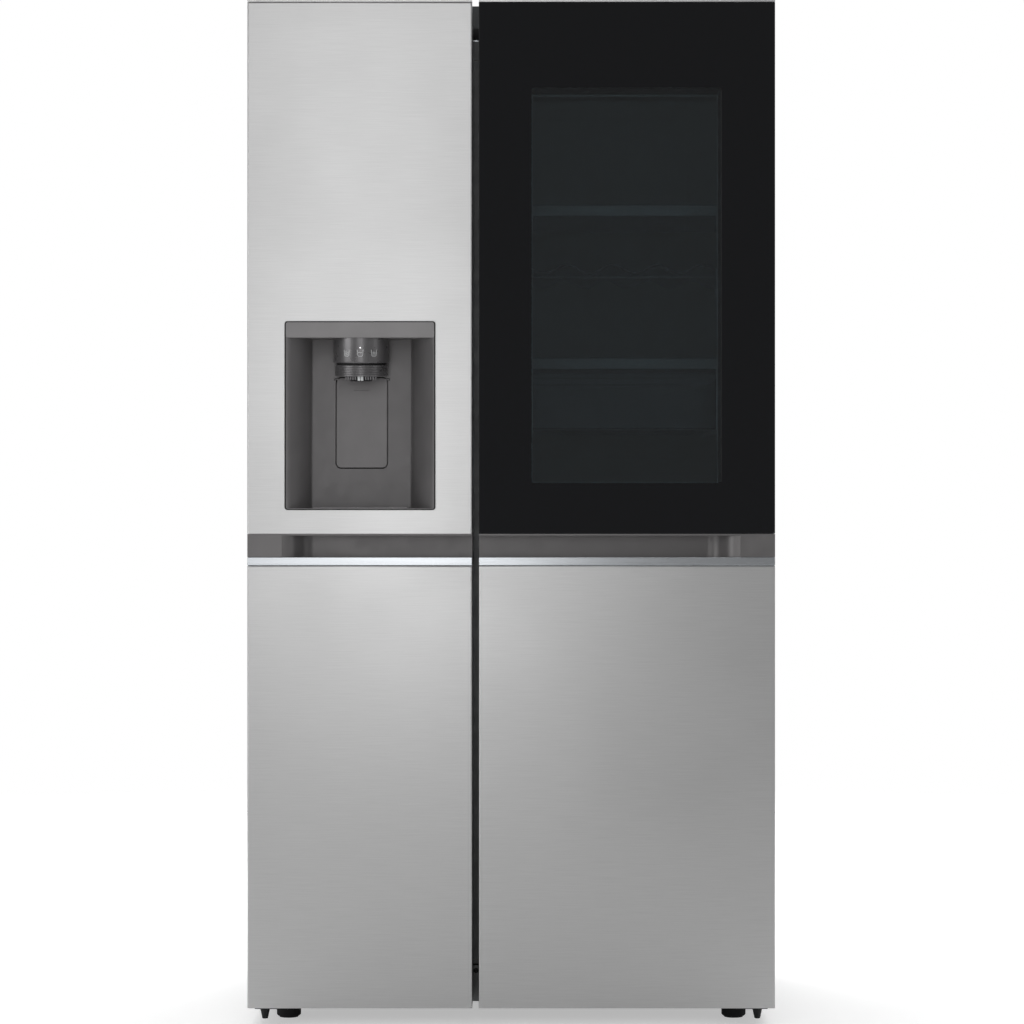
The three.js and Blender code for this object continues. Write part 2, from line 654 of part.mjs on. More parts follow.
// The white sheet inside a door, with both end caps
function linerSheet({ side, door }) {
  const xs = grow(door, -SHEET - GAP);
  const zs = [DOOR_BOTTOM + 2, DOOR_TOP - GAP];
  const sheet = block(xs, [DOOR_BACK - PLASTIC, DOOR_BACK], zs);
  const capYs = [FRONT + 6, DOOR_BACK - 1];
  const caps = [[zs[0], zs[0] + 4], [zs[1] - 4, zs[1]]].map((capZs) => block(xs, capYs, capZs));
  return cut(join([sheet, ...caps]), pinHoles(side, PIN_HOLE));
}

// The raised rim around the inside of a door, hollow towards the sheet, with hooks under the
// ends of the bins. A bin is given as its width and its height.
function linerRim({ room }, bins, base) {
  const rim = ring(rimX(room), [base, DOOR_BACK + RIM_HEIGHT], RIM_Z, RIM_WIDTH);
  const inner = grow(rimX(room), -RIM_WIDTH);
  const hookYs = [base, DOOR_BACK + 30];
  const hooks = bins.flatMap(([bin, [z]]) => [
    block([inner[0] - 1, bin[0] + PLASTIC], hookYs, [z - 12, z - GAP]),
    block([bin[1] - PLASTIC, inner[1] + 1], hookYs, [z - 12, z - GAP]),
  ]);
  return cut(join([rim, ...hooks]), [rimFilling(room, 0)]);
}

// Sheet and rim drawn from one sheet, with the hollow of the rim open to the foam
function freezerDoorLiner(bins) {
  const rim = linerRim(FREEZER, bins, DOOR_BACK - 1);
  return linerSheet(FREEZER).subtract(rimFilling(FREEZER.room, 0)).add(rim);
}

// The foam inside the raised rim, or with no margin the hollow that it fills
function rimFilling(room, margin) {
  const xs = grow(rimX(room), -PLASTIC - margin);
  const ys = [DOOR_BACK - 2 * PLASTIC, DOOR_BACK + RIM_HEIGHT - PLASTIC - margin];
  return ring(xs, ys, grow(RIM_Z, -PLASTIC - margin), RIM_WIDTH - 2 * PLASTIC - 2 * margin);
}

function doorGasket({ room }) {
  const ys = [DOOR_BACK + GAP, CASE_FRONT - 2 * GAP];
  return ring(grow(room, GASKET_WIDTH), ys, grow(ROOM_Z, GASKET_WIDTH), GASKET_WIDTH);
}

function doorFoam({ side, door }, cutters) {
  const xs = grow(door, -SHEET - GAP);
  const ys = [FRONT + 6, DOOR_BACK - PLASTIC - GAP];
  const core = block(xs, ys, [DOOR_BOTTOM + 6 + GAP, DOOR_TOP - 4 - 2 * GAP]);
  const pocket = block(grow(door, 1), [FRONT, POCKET.back + GAP], [TRIM_BOTTOM, GROOVE_TOP]);
  return cut(core, [pocket, ...pinHoles(side, PIN_HOLE + GAP), ...cutters]);
}

function doorBin({ bin }, zs) {
  return openBox(bin, [DOOR_BACK + GAP, DOOR_BACK + BIN_REACH], zs);
}

// The ice bin is deeper than the door bins, and narrower so that it clears the room as the door swings
const ICE_BIN_X = [FREEZER.bin[0], -152];

function iceBin() {
  return openBox(ICE_BIN_X, [DOOR_BACK + GAP, DOOR_BACK + 152], ICE_BIN, 4);
}

// ---------------------------------------------------------------- dispenser

const HOUSING_REAR = FRONT + 92.5;
const PAD_LEAN = Math.atan((NICHE_BACK_TOP - NICHE_BACK_BOTTOM) / (NICHE_CEILING - NICHE_FLOOR));
const nicheBackY = (z) => FRONT + NICHE_BACK_TOP - Math.tan(PAD_LEAN) * (NICHE_CEILING - z);
const DISPENSER_MIDDLE = middle(DISPENSER_X);
const TRAY_X = [DISPENSER_MIDDLE - 82, DISPENSER_MIDDLE + 82];
const TRAY_Y = [FRONT + 10, FRONT + 54];
const TRAY_Z = [NICHE_FLOOR - 14, NICHE_FLOOR + 1.5];

// The niche in plan: side walls that curve in and get steeper, and a flat back with soft corners
function nicheOutline(margin) {
  const [left, right] = grow(DISPENSER_X, -3 - margin);
  const [backLeft, backRight] = NICHE_BACK_X;
  const back = FRONT + NICHE_BACK_TOP - margin;
  const corner = NICHE_BACK_CORNER;
  const outline = new THREE.Shape();
  outline.moveTo(right, FRONT - 1);
  outline.lineTo(left, FRONT - 1);
  outline.lineTo(left, FRONT);
  outline.bezierCurveTo(left + 22, FRONT + 14, backLeft - 2, FRONT + 40, backLeft, back - corner);
  outline.quadraticCurveTo(backLeft, back, backLeft + corner, back);
  outline.lineTo(backRight - corner, back);
  outline.quadraticCurveTo(backRight, back, backRight, back - corner);
  outline.bezierCurveTo(backRight + 2, FRONT + 40, right - 22, FRONT + 14, right, FRONT);
  return outline;
}

// The niche's space: its plan drawn up, and squeezed towards its floor so that its back leans forward
function nicheSpace(margin = 0) {
  const zs = [NICHE_FLOOR + margin, NICHE_CEILING - margin];
  const upright = geometryOf(extruded('Z', nicheOutline(margin), zs, 8));
  const places = upright.attributes.position;
  for (let i = 0; i < places.count; i += 1) {
    const depth = places.getY(i) - FRONT;
    places.setY(i, FRONT + (depth * (nicheBackY(places.getZ(i)) - FRONT)) / NICHE_BACK_TOP);
  }
  return solid(upright);
}

const padGroupPlace = [DISPENSER_MIDDLE, nicheBackY(PAD_TOP), PAD_TOP];

// Moves a shape into the leaning frame of the pad, whose pivot is at its top
function inPadFrame(shape) {
  const lean = new THREE.Matrix4().makeRotationX(-PAD_LEAN).setPosition(...padGroupPlace);
  return solid(geometryOf(shape).applyMatrix4(lean));
}

// The pad's outline, grown by a margin, between two depths
function padShape(margin, ys) {
  const xs = grow([-PAD_WIDTH / 2, PAD_WIDTH / 2], margin);
  return extruded('Y', roundedRectangle(xs, grow([-PAD_HEIGHT, 2], margin), PAD_CORNER + margin), ys, 4);
}

function dispenserPad() {
  const half = PAD_WIDTH / 2;
  const pivots = rod('X', [1, 0], 1.6, [-half - 4, half + 4], 10);
  const slit = block([-13, 13], [-2, 0.2], [-20, -18.5]);
  return inPadFrame(cut(padShape(0, [-1, PAD_THICKNESS - 1]).add(pivots), [slit]));
}

function padPocket() {
  const half = PAD_WIDTH / 2 + PAD_GAP;
  const bearings = rod('X', [1, 0], 2.2, [-half - 3, half + 3], 10);
  return inPadFrame(padShape(PAD_GAP, [-3, 15]).add(bearings));
}

function housingEnvelope(margin) {
  const xs = grow(DISPENSER_X, margin - GAP);
  const upper = block(xs, [FRONT + 0.5, HOUSING_REAR + margin], grow(DISPENSER_Z, margin - GAP));
  const lower = block(xs, [FRONT + 4, HOUSING_REAR + margin], [TRAY_Z[0] - 3 - margin, DISPENSER_Z[1] - 1]);
  return upper.add(lower);
}

function dispenserHousing() {
  const outline = roundedRectangle(grow(DISPENSER_X, -GAP), grow(DISPENSER_Z, -GAP), OPENING_CORNER);
  const frontPart = block(DISPENSER_X, [FRONT, FRONT + 6], grow(DISPENSER_Z, 2));
  const aroundIt = frontPart.subtract(extruded('Y', outline, [FRONT, REAR], 3));
  const body = housingEnvelope(0).subtract(aroundIt);
  const traySpace = block(grow(TRAY_X, 1), grow(TRAY_Y, 1), [TRAY_Z[0] - GAP, NICHE_FLOOR + 1]);
  return cut(body, [nicheSpace(), padPocket(), traySpace]);
}

// Two stacked drums that fade into the niche's back, with a spout and two small teeth below
function dispenserNozzle() {
  const tilt = 0.07;
  const y = FRONT + 53;
  const upper = rod('Z', [0, 0], NOZZLE_RADIUS, [-44, 30], 40);
  const lower = rod('Z', [0, 0], NOZZLE_RADIUS - 2.5, [-64, -40], 40);
  const teeth = [-28, 28].map((x) => block([x - 3, x + 3], [-40, -34], [-71, -60]));
  const spout = rod('Z', [0, -14], 5.2, [-72, -60], 14);
  const shape = join([upper, lower, ...teeth, spout]);
  const lean = new THREE.Matrix4().makeRotationX(tilt).setPosition(DISPENSER_MIDDLE, y, NICHE_CEILING);
  return solid(geometryOf(shape).applyMatrix4(lean)).intersect(nicheSpace(GAP));
}

// A small tub with a slotted lid, which lifts out of the niche's floor
function dripTray() {
  const tub = block(TRAY_X, TRAY_Y, TRAY_Z);
  const hollow = block(grow(TRAY_X, -2), grow(TRAY_Y, -2), [TRAY_Z[0] + 2, TRAY_Z[1] - 2.5]);
  const slots = Array.from({ length: 7 }, (_, i) => {
    const x = DISPENSER_MIDDLE + (i - 3) * 22;
    return block([x - 6, x + 6], grow(TRAY_Y, -6), [TRAY_Z[0] + 3, TRAY_Z[1] + 1]);
  });
  return cut(tub, [hollow, ...slots]);
}

// ---------------------------------------------------------------- assembly

function addCabinet() {
  const fridgeShelves = [FRIDGE_SHELF_UPPER, RACK, FRIDGE_SHELF_MIDDLE, CRISPER_SHELF];
  const fridgeDrawers = [UTILITY_BOX, CRISPER_UPPER, CRISPER_LOWER];
  const freezerShelves = [FREEZER_SHELF_UPPER, FREEZER_SHELF_LOWER];
  const freezerDrawers = [FREEZER_DRAWER_UPPER, FREEZER_DRAWER_LOWER];
  place(appliance, 'cabinet_shell', cabinetShell(), casePaint);
  place(appliance, 'back_panel', backPanel(), zincSteel);
  place(appliance, 'base_frame', baseFrame(), blackSteel);
  place(appliance, 'cabinet_foam', cabinetFoam(), foam);
  place(appliance, 'freezer_liner', roomLiner(FREEZER, freezerShelves, freezerDrawers), whitePlastic);
  place(appliance, 'fridge_liner', roomLiner(FRIDGE, fridgeShelves, fridgeDrawers), whitePlastic);
  place(appliance, 'mullion_bar', mullionBar(), casePaint);
  place(appliance, 'top_cover', topCover(), coverPlastic);
  place(appliance, 'upper_hinge_left', upperHinge(-HINGE_X), zincSteel);
  place(appliance, 'upper_hinge_right', upperHinge(HINGE_X), zincSteel);
  place(appliance, 'lower_hinge_left', lowerHinge(-1), blackSteel);
  place(appliance, 'lower_hinge_right', lowerHinge(1), blackSteel);
}

function addMachinery() {
  place(appliance, 'machine_room_cover', machineRoomCover(), blackSteel);
  place(appliance, 'compressor', compressor(), blackSteel);
  place(appliance, 'condenser', condenser(), blackSteel);
  place(appliance, 'evaporator', evaporator(), aluminium);
}

function addShelves() {
  place(appliance, 'freezer_duct_cover', freezerDuctCover(), whitePlastic);
  place(appliance, 'fridge_duct_cover', fridgeDuctCover(), whitePlastic);
  place(appliance, 'fridge_shelf_upper', shelf(FRIDGE, FRIDGE_SHELF_UPPER, SHELF_FRONT), clearGlass);
  place(appliance, 'fridge_shelf_middle', shelf(FRIDGE, FRIDGE_SHELF_MIDDLE, SHELF_FRONT), clearGlass);
  place(appliance, 'crisper_shelf', shelf(FRIDGE, CRISPER_SHELF, SHELF_FRONT), clearGlass);
  place(appliance, 'wine_rack', wineRack(), clearPlastic);
  const freezerShelf = (zs) => shelf(FREEZER, zs, FREEZER_SHELF_FRONT);
  place(appliance, 'freezer_shelf_upper', freezerShelf(FREEZER_SHELF_UPPER), clearGlass);
  place(appliance, 'freezer_shelf_lower', freezerShelf(FREEZER_SHELF_LOWER), clearGlass);
}

// Everything that moves against the cabinet, apart from the doors
function addSmallMovers() {
  for (const [side, end] of [[-1, 'left'], [1, 'right']]) {
    const foot = bodyAt(appliance, side * FOOT_X, FOOT_Y, 0);
    foot.add(named(`levelling_foot_${end}`, levellingFoot(), blackRubber));
    const roller = bodyAt(appliance, side * ROLLER_X, ROLLER_Y, ROLLER_RADIUS);
    roller.add(named(`rear_roller_${end}`, rearRoller(), coverPlastic));
  }
  const coldFan = bodyAt(appliance, EVAPORATOR_FAN.x, EVAPORATOR_FAN.y, EVAPORATOR_FAN.z);
  coldFan.rotation.x = Math.PI / 2;
  coldFan.add(named('evaporator_fan', fanWheel(EVAPORATOR_FAN.radius, 18, 5), whitePlastic));
  const warmFan = bodyAt(appliance, CONDENSER_FAN.x, CONDENSER_FAN.y, CONDENSER_FAN.z);
  warmFan.rotation.y = Math.PI / 2;
  warmFan.add(named('condenser_fan', fanWheel(CONDENSER_FAN.radius, 22, 6), blackSteel));
}

// A mesh from a shape drawn about its own origin
function named(name, shape, material) {
  const mesh = new THREE.Mesh(geometryOf(shape), material);
  mesh.name = name;
  return mesh;
}

function addDrawers() {
  const specs = [
    ['utility_box', FRIDGE, UTILITY_BOX, SHELF_BACK - 8],
    ['crisper_upper', FRIDGE, CRISPER_UPPER, SHELF_BACK - 8],
    ['crisper_lower', FRIDGE, CRISPER_LOWER, STEP_FRONT - 8],
    ['freezer_drawer_upper', FREEZER, FREEZER_DRAWER_UPPER, DUCT_FRONT - 10],
    ['freezer_drawer_lower', FREEZER, FREEZER_DRAWER_LOWER, STEP_FRONT - 8],
  ];
  for (const [name, { drawer: xs }, zs, back] of specs) {
    const body = bodyAt(appliance, middle(xs), DRAWER_FRONT, middle(zs));
    place(body, name, drawer(xs, zs, back), clearPlastic);
  }
}

function addFreezerDoor() {
  const door = bodyAt(appliance, -HINGE_X, HINGE_Y, 0);
  const bins = [[ICE_BIN_X, ICE_BIN], [FREEZER.bin, FREEZER_BIN]];
  place(door, 'freezer_door_upper_panel', freezerUpperPanel(), silverPaint);
  place(door, 'freezer_door_lower_panel', lowerPanel(FREEZER), silverPaint);
  place(door, 'freezer_door_trim', trimBar(FREEZER.door), chrome);
  place(door, 'freezer_handle_pocket', handlePocket(FREEZER), pocketPlastic);
  const insulation = doorFoam(FREEZER, [housingEnvelope(2 * GAP)]).add(rimFilling(FREEZER.room, GAP));
  place(door, 'freezer_door_foam', insulation, foam);
  place(door, 'freezer_door_liner', freezerDoorLiner(bins), whitePlastic);
  place(door, 'freezer_door_gasket', doorGasket(FREEZER), rubber);
  place(door, 'ice_bin', iceBin(), clearPlastic);
  place(door, 'freezer_door_bin', doorBin(FREEZER, FREEZER_BIN), clearPlastic);
  place(door, 'dispenser_housing', dispenserHousing(), dispenserPlastic);
  place(door, 'dispenser_nozzle', dispenserNozzle(), nozzlePlastic);
  place(bodyAt(door, ...padGroupPlace), 'dispenser_pad', dispenserPad(), dispenserPlastic);
  const trayPlace = [DISPENSER_MIDDLE, middle(TRAY_Y), TRAY_Z[0]];
  place(bodyAt(door, ...trayPlace), 'drip_tray', dripTray(), nozzlePlastic);
}

function addFridgeDoor() {
  const door = bodyAt(appliance, HINGE_X, HINGE_Y, 0);
  const windowWall = SHEET + GAP;
  const windowSpace = block(grow(WINDOW_X, windowWall), [FRONT, REAR], grow(WINDOW_Z, windowWall));
  const sill = block(grow(WINDOW_X, -PLASTIC), [DOOR_BACK - 5, REAR], grow(WINDOW_Z, -PLASTIC));
  place(door, 'fridge_door_glass', fridgeGlass(), blackGlass);
  place(door, 'fridge_door_frame', fridgeFrame(), blackSteel);
  place(door, 'fridge_window_pane', windowPane(), clearGlass);
  place(door, 'fridge_door_lower_panel', lowerPanel(FRIDGE), silverPaint);
  place(door, 'fridge_door_trim', trimBar(FRIDGE.door), chrome);
  place(door, 'fridge_handle_pocket', handlePocket(FRIDGE), pocketPlastic);
  place(door, 'fridge_door_foam', doorFoam(FRIDGE, [windowSpace]), foam);
  const bins = [[FRIDGE.bin, FRIDGE_BIN_UPPER], [FRIDGE.bin, FRIDGE_BIN_LOWER]];
  place(door, 'fridge_door_liner', linerSheet(FRIDGE).subtract(sill), whitePlastic);
  place(door, 'fridge_door_rim', linerRim(FRIDGE, bins, DOOR_BACK + GAP), whitePlastic);
  place(door, 'fridge_door_gasket', doorGasket(FRIDGE), rubber);
  place(door, 'fridge_door_bin_upper', doorBin(FRIDGE, FRIDGE_BIN_UPPER), clearPlastic);
  place(door, 'fridge_door_bin_lower', doorBin(FRIDGE, FRIDGE_BIN_LOWER), clearPlastic);
}

addCabinet();
addMachinery();
addShelves();
addSmallMovers();
addDrawers();
addFreezerDoor();
addFridgeDoor();

export default appliance;
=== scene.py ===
"""The looks of a side by side refrigerator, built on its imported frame.

Metres, with +X to the right, -Y to the front and +Z up. Places are measured from the boxes of the frame's
nodes. Small parts that the frame doesn't have get their sizes here.
"""

import json
import math

import bmesh
import bpy
from mathutils import Matrix, Vector


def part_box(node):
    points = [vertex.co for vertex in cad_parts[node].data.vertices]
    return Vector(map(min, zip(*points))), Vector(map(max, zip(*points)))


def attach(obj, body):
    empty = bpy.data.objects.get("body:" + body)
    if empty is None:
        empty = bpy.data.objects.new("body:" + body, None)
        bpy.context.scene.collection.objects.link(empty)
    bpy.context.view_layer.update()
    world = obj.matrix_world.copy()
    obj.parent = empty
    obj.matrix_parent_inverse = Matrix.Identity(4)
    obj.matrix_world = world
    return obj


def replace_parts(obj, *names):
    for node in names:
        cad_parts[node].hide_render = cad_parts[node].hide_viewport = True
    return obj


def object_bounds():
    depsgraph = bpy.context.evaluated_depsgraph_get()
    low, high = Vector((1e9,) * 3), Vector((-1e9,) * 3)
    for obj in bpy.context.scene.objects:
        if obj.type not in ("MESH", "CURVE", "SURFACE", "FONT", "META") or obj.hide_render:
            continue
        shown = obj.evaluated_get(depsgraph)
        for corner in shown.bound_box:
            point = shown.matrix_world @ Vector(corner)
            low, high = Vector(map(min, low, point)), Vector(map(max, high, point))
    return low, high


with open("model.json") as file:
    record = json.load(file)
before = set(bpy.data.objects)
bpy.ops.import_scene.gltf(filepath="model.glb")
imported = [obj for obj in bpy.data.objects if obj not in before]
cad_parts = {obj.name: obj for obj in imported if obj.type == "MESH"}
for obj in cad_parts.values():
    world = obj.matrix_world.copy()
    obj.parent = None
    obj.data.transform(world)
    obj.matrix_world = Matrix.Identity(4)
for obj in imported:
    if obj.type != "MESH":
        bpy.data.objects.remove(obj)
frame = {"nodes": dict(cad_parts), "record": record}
cad_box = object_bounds()


# ---------------------------------------------------------------- materials

class Finish:
    """A principled material whose colour, gloss and relief come from noise in the piece's own space."""

    def __init__(self, name, colour, roughness, metallic=0.0, **settings):
        self.material = bpy.data.materials.new(name)
        self.material.use_nodes = True
        self.tree = self.material.node_tree
        self.shader = self.tree.nodes["Principled BSDF"]
        self.colour = (*colour, 1.0)
        self.roughness = roughness
        self.shader.inputs["Base Color"].default_value = self.colour
        self.shader.inputs["Roughness"].default_value = roughness
        self.shader.inputs["Metallic"].default_value = metallic
        for socket, value in settings.items():
            self.shader.inputs[socket.replace("_", " ")].default_value = value
        self.space = self.tree.nodes.new("ShaderNodeTexCoord").outputs["Object"]
        self.height = None

    def node(self, kind, **settings):
        made = self.tree.nodes.new(kind)
        for key, value in settings.items():
            setattr(made, key, value)
        return made

    def link(self, source, target):
        self.tree.links.new(source, target)

    def noise(self, size, stretch=(1, 1, 1), detail=3.0, roughness=0.55):
        """Noise whose grains are about size metres across, drawn out by stretch along each axis."""
        mapping = self.node("ShaderNodeMapping")
        mapping.inputs["Scale"].default_value = [1 / (size * s) for s in stretch]
        noise = self.node("ShaderNodeTexNoise")
        noise.inputs["Scale"].default_value = 1.0
        noise.inputs["Detail"].default_value = detail
        noise.inputs["Roughness"].default_value = roughness
        self.link(self.space, mapping.inputs["Vector"])
        self.link(mapping.outputs["Vector"], noise.inputs["Vector"])
        return noise.outputs["Fac"]

    def between(self, pattern, low, high, start=0.35, end=0.65):
        """The pattern's values from start to end, spread over low to high."""
        spread = self.node("ShaderNodeMapRange")
        spread.inputs["From Min"].default_value = start
        spread.inputs["From Max"].default_value = end
        spread.inputs["To Min"].default_value = low
        spread.inputs["To Max"].default_value = high
        self.link(pattern, spread.inputs["Value"])
        return spread.outputs["Result"]

    def vary_colour(self, pattern, amount):
        """The colour runs from darker to lighter by amount, a share of its value."""
        ramp = self.node("ShaderNodeValToRGB")
        ramp.color_ramp.elements[0].position = 0.3
        ramp.color_ramp.elements[1].position = 0.7
        ramp.color_ramp.elements[0].color = [c * (1 - amount) for c in self.colour[:3]] + [1.0]
        ramp.color_ramp.elements[1].color = [min(1.0, c * (1 + amount)) for c in self.colour[:3]] + [1.0]
        self.link(pattern, ramp.inputs["Fac"])
        self.link(ramp.outputs["Color"], self.shader.inputs["Base Color"])
        return self

    def vary_roughness(self, pattern, amount):
        rough = self.between(pattern, self.roughness - amount, self.roughness + amount)
        self.link(rough, self.shader.inputs["Roughness"])
        return self

    def bump(self, pattern, depth, strength=1.0):
        """Relief of the given depth in metres. A second call adds to the first."""
        bump = self.node("ShaderNodeBump")
        bump.inputs["Distance"].default_value = depth
        bump.inputs["Strength"].default_value = strength
        self.link(pattern, bump.inputs["Height"])
        if self.height is not None:
            self.link(self.height, bump.inputs["Normal"])
        self.height = bump.outputs["Normal"]
        self.link(self.height, self.shader.inputs["Normal"])
        return self


def brushed_silver():
    """Door sheet: fine level grain with faint cloudiness."""
    made = Finish("brushed_silver", (0.71, 0.71, 0.71), roughness=0.36, metallic=0.9)
    grain = made.noise(0.0011, stretch=(60, 1, 1), detail=4)
    clouds = made.noise(0.25, detail=2)
    made.vary_colour(grain, 0.035).vary_roughness(clouds, 0.02)
    return made.bump(grain, depth=0.00003, strength=0.35).material


def black_glass():
    """Glass printed black from behind, with faint haze and waviness."""
    made = Finish("black_glass", (0.0045, 0.005, 0.007), roughness=0.05, IOR=1.5)
    haze = made.noise(0.12, detail=4)
    waves = made.noise(0.35, detail=1)
    made.vary_roughness(haze, 0.012)
    return made.bump(waves, depth=0.00004, strength=0.2).material


def window_glass():
    """Tinted glass: dark to look through, with the same gloss as the black border."""
    made = Finish("window_glass", (0.50, 0.56, 0.61), roughness=0.05, IOR=1.5, Transmission_Weight=1.0)
    haze = made.noise(0.12, detail=4)
    made.vary_roughness(haze, 0.012)
    return made.material


def clear_glass():
    """Glass of the shelves and of the inner window pane."""
    made = Finish("clear_glass", (0.86, 0.93, 0.92), roughness=0.03, IOR=1.45, Transmission_Weight=1.0)
    haze = made.noise(0.05, detail=3)
    made.vary_roughness(haze, 0.015)
    return made.material


def chrome():
    """Bright trim with a trace of level grain."""
    made = Finish("chrome", (0.66, 0.69, 0.72), roughness=0.24, metallic=1.0)
    grain = made.noise(0.0012, stretch=(80, 1, 1), detail=3)
    made.vary_roughness(grain, 0.02)
    return made.bump(grain, depth=0.000004, strength=0.2).material


def moulded(name, colour, roughness, grain=0.0006, depth=0.00003, uneven=0.05, **settings):
    """Moulded plastic: fine spark-eroded grain and slightly uneven colour and gloss."""
    made = Finish(name, colour, roughness, **settings)
    made.vary_colour(made.noise(0.04, detail=5), uneven)
    made.vary_roughness(made.noise(0.02, detail=4), 0.8 * uneven)
    return made.bump(made.noise(grain, detail=2), depth, strength=0.5).material


def coated_steel(name, colour, roughness, metallic):
    """Painted sheet: orange-peel relief and small dull patches."""
    made = Finish(name, colour, roughness, metallic)
    made.vary_colour(made.noise(0.08, detail=6), 0.04)
    made.vary_roughness(made.noise(0.015, detail=5), 0.05)
    return made.bump(made.noise(0.0022, detail=2), depth=0.00004, strength=0.5).material


def galvanised():
    """Zinc-coated sheet with its crystal pattern."""
    made = Finish("galvanised", (0.50, 0.51, 0.52), roughness=0.42, metallic=0.85)
    crystals_per_metre = 90.0
    cells = made.node("ShaderNodeTexVoronoi", feature="F1")
    cells.inputs["Scale"].default_value = crystals_per_metre
    made.link(made.space, cells.inputs["Vector"])
    flakes = made.node("ShaderNodeSeparateColor")
    made.link(cells.outputs["Color"], flakes.inputs["Color"])
    made.vary_colour(flakes.outputs["Red"], 0.09)
    made.vary_roughness(flakes.outputs["Green"], 0.05)
    return made.material


def rubber(name, colour):
    """Dull soft rubber or vinyl, slightly blotchy."""
    made = Finish(name, colour, roughness=0.75)
    made.vary_colour(made.noise(0.03, detail=5), 0.08)
    return made.bump(made.noise(0.0009, detail=3), depth=0.00005, strength=0.6).material


def painted_gap_shade():
    """Painted shade: a near-black colour with almost no gloss, standing in for the unlit bottom of a narrow
    gap.
    """
    made = Finish("painted_gap_shade", (0.004, 0.004, 0.004), roughness=0.9, Specular_IOR_Level=0.1)
    made.vary_colour(made.noise(0.01, detail=3), 0.2)
    return made.material


def lamp():
    """A lit diffuser: white plastic that glows, a little unevenly."""
    made = Finish("lamp", (0.95, 0.95, 0.95), roughness=0.4, Emission_Strength=1.6)
    made.shader.inputs["Emission Color"].default_value = (1.0, 0.99, 0.97, 1.0)
    made.vary_colour(made.noise(0.01, detail=3), 0.04)
    return made.material


def foam():
    """Hard yellow insulation with a fine cell texture."""
    made = Finish("foam", (0.80, 0.66, 0.36), roughness=0.95)
    made.vary_colour(made.noise(0.01, detail=6), 0.15)
    return made.bump(made.noise(0.002, detail=3), depth=0.0004, strength=0.7).material


def paper():
    """The floor: pale near the appliance, and fading into the backdrop further out.

    It glows more to the camera than it lights its surroundings.
    """
    glow_as_light = 0.08
    glow_to_camera = 0.45
    fade_start = 2.0
    fade_end = 4.5
    made = Finish("paper", (0.72, 0.72, 0.72), roughness=0.9)
    made.shader.inputs["Emission Color"].default_value = (1, 1, 1, 1)
    seen = made.node("ShaderNodeLightPath").outputs["Is Camera Ray"]
    glow = made.between(seen, glow_as_light, glow_to_camera, start=0.0, end=1.0)
    made.link(glow, made.shader.inputs["Emission Strength"])
    made.bump(made.noise(0.01), depth=0.0001, strength=0.2)
    distance = made.node("ShaderNodeVectorMath", operation="LENGTH")
    clear = made.node("ShaderNodeBsdfTransparent")
    mix = made.node("ShaderNodeMixShader")
    made.link(made.space, distance.inputs[0])
    fade = made.between(distance.outputs["Value"], 0.0, 1.0, start=fade_start, end=fade_end)
    made.link(fade, mix.inputs["Fac"])
    made.link(made.shader.outputs["BSDF"], mix.inputs[1])
    made.link(clear.outputs["BSDF"], mix.inputs[2])
    made.link(mix.outputs["Shader"], made.tree.nodes["Material Output"].inputs["Surface"])
    return made.material


MATERIALS = {
    "silver_paint": brushed_silver(),
    "black_glass": black_glass(),
    "window_glass": window_glass(),
    "clear_glass": clear_glass(),
    "chrome_trim": chrome(),
    "groove_plastic": moulded("groove_plastic", (0.205, 0.198, 0.199), roughness=0.42, Metallic=0.5),
    "dispenser_plastic": moulded("dispenser_plastic", (0.225, 0.217, 0.220), roughness=0.44,
                                 Metallic=0.25),
    "bar_plastic": moulded("bar_plastic", (0.265, 0.257, 0.260), roughness=0.38, Metallic=0.4),
    "painted_gap_shade": painted_gap_shade(),
    "nozzle_plastic": moulded("nozzle_plastic", (0.20, 0.195, 0.20), roughness=0.30, Metallic=0.6),
    "case_paint": coated_steel("case_paint", (0.20, 0.204, 0.208), roughness=0.42, metallic=0.4),
    "cover_plastic": moulded("cover_plastic", (0.040, 0.042, 0.045), roughness=0.5),
    "white_plastic": moulded("white_plastic", (0.83, 0.85, 0.85), roughness=0.3, depth=0.00001,
                             uneven=0.012),
    "clear_plastic": moulded("clear_plastic", (0.92, 0.95, 0.96), roughness=0.1, depth=0.000005,
                             uneven=0.012, Transmission_Weight=0.85, IOR=1.45),
    "foam": foam(),
    "lamp": lamp(),
    "gasket_rubber": rubber("gasket_rubber", (0.10, 0.10, 0.105)),
    "black_rubber": rubber("black_rubber", (0.014, 0.014, 0.015)),
    "zinc_steel": galvanised(),
    "black_steel": coated_steel("black_steel", (0.012, 0.013, 0.014), roughness=0.4, metallic=0.2),
    "aluminium": coated_steel("aluminium", (0.62, 0.64, 0.66), roughness=0.3, metallic=0.9),
}


# ---------------------------------------------------------------- mesh helpers


def piece(name, bm, slot, body, smooth=35.0):
    """A finished mesh as a piece that moves with a body."""
    bmesh.ops.recalc_face_normals(bm, faces=bm.faces)
    mesh = bpy.data.meshes.new(name)
    bm.to_mesh(mesh)
    bm.free()
    mesh.materials.append(MATERIALS[slot])
    made = bpy.data.objects.new(name, mesh)
    bpy.context.scene.collection.objects.link(made)
    mesh.shade_smooth()
    mesh.set_sharp_from_angle(angle=math.radians(smooth))
    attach(made, body)
    return made


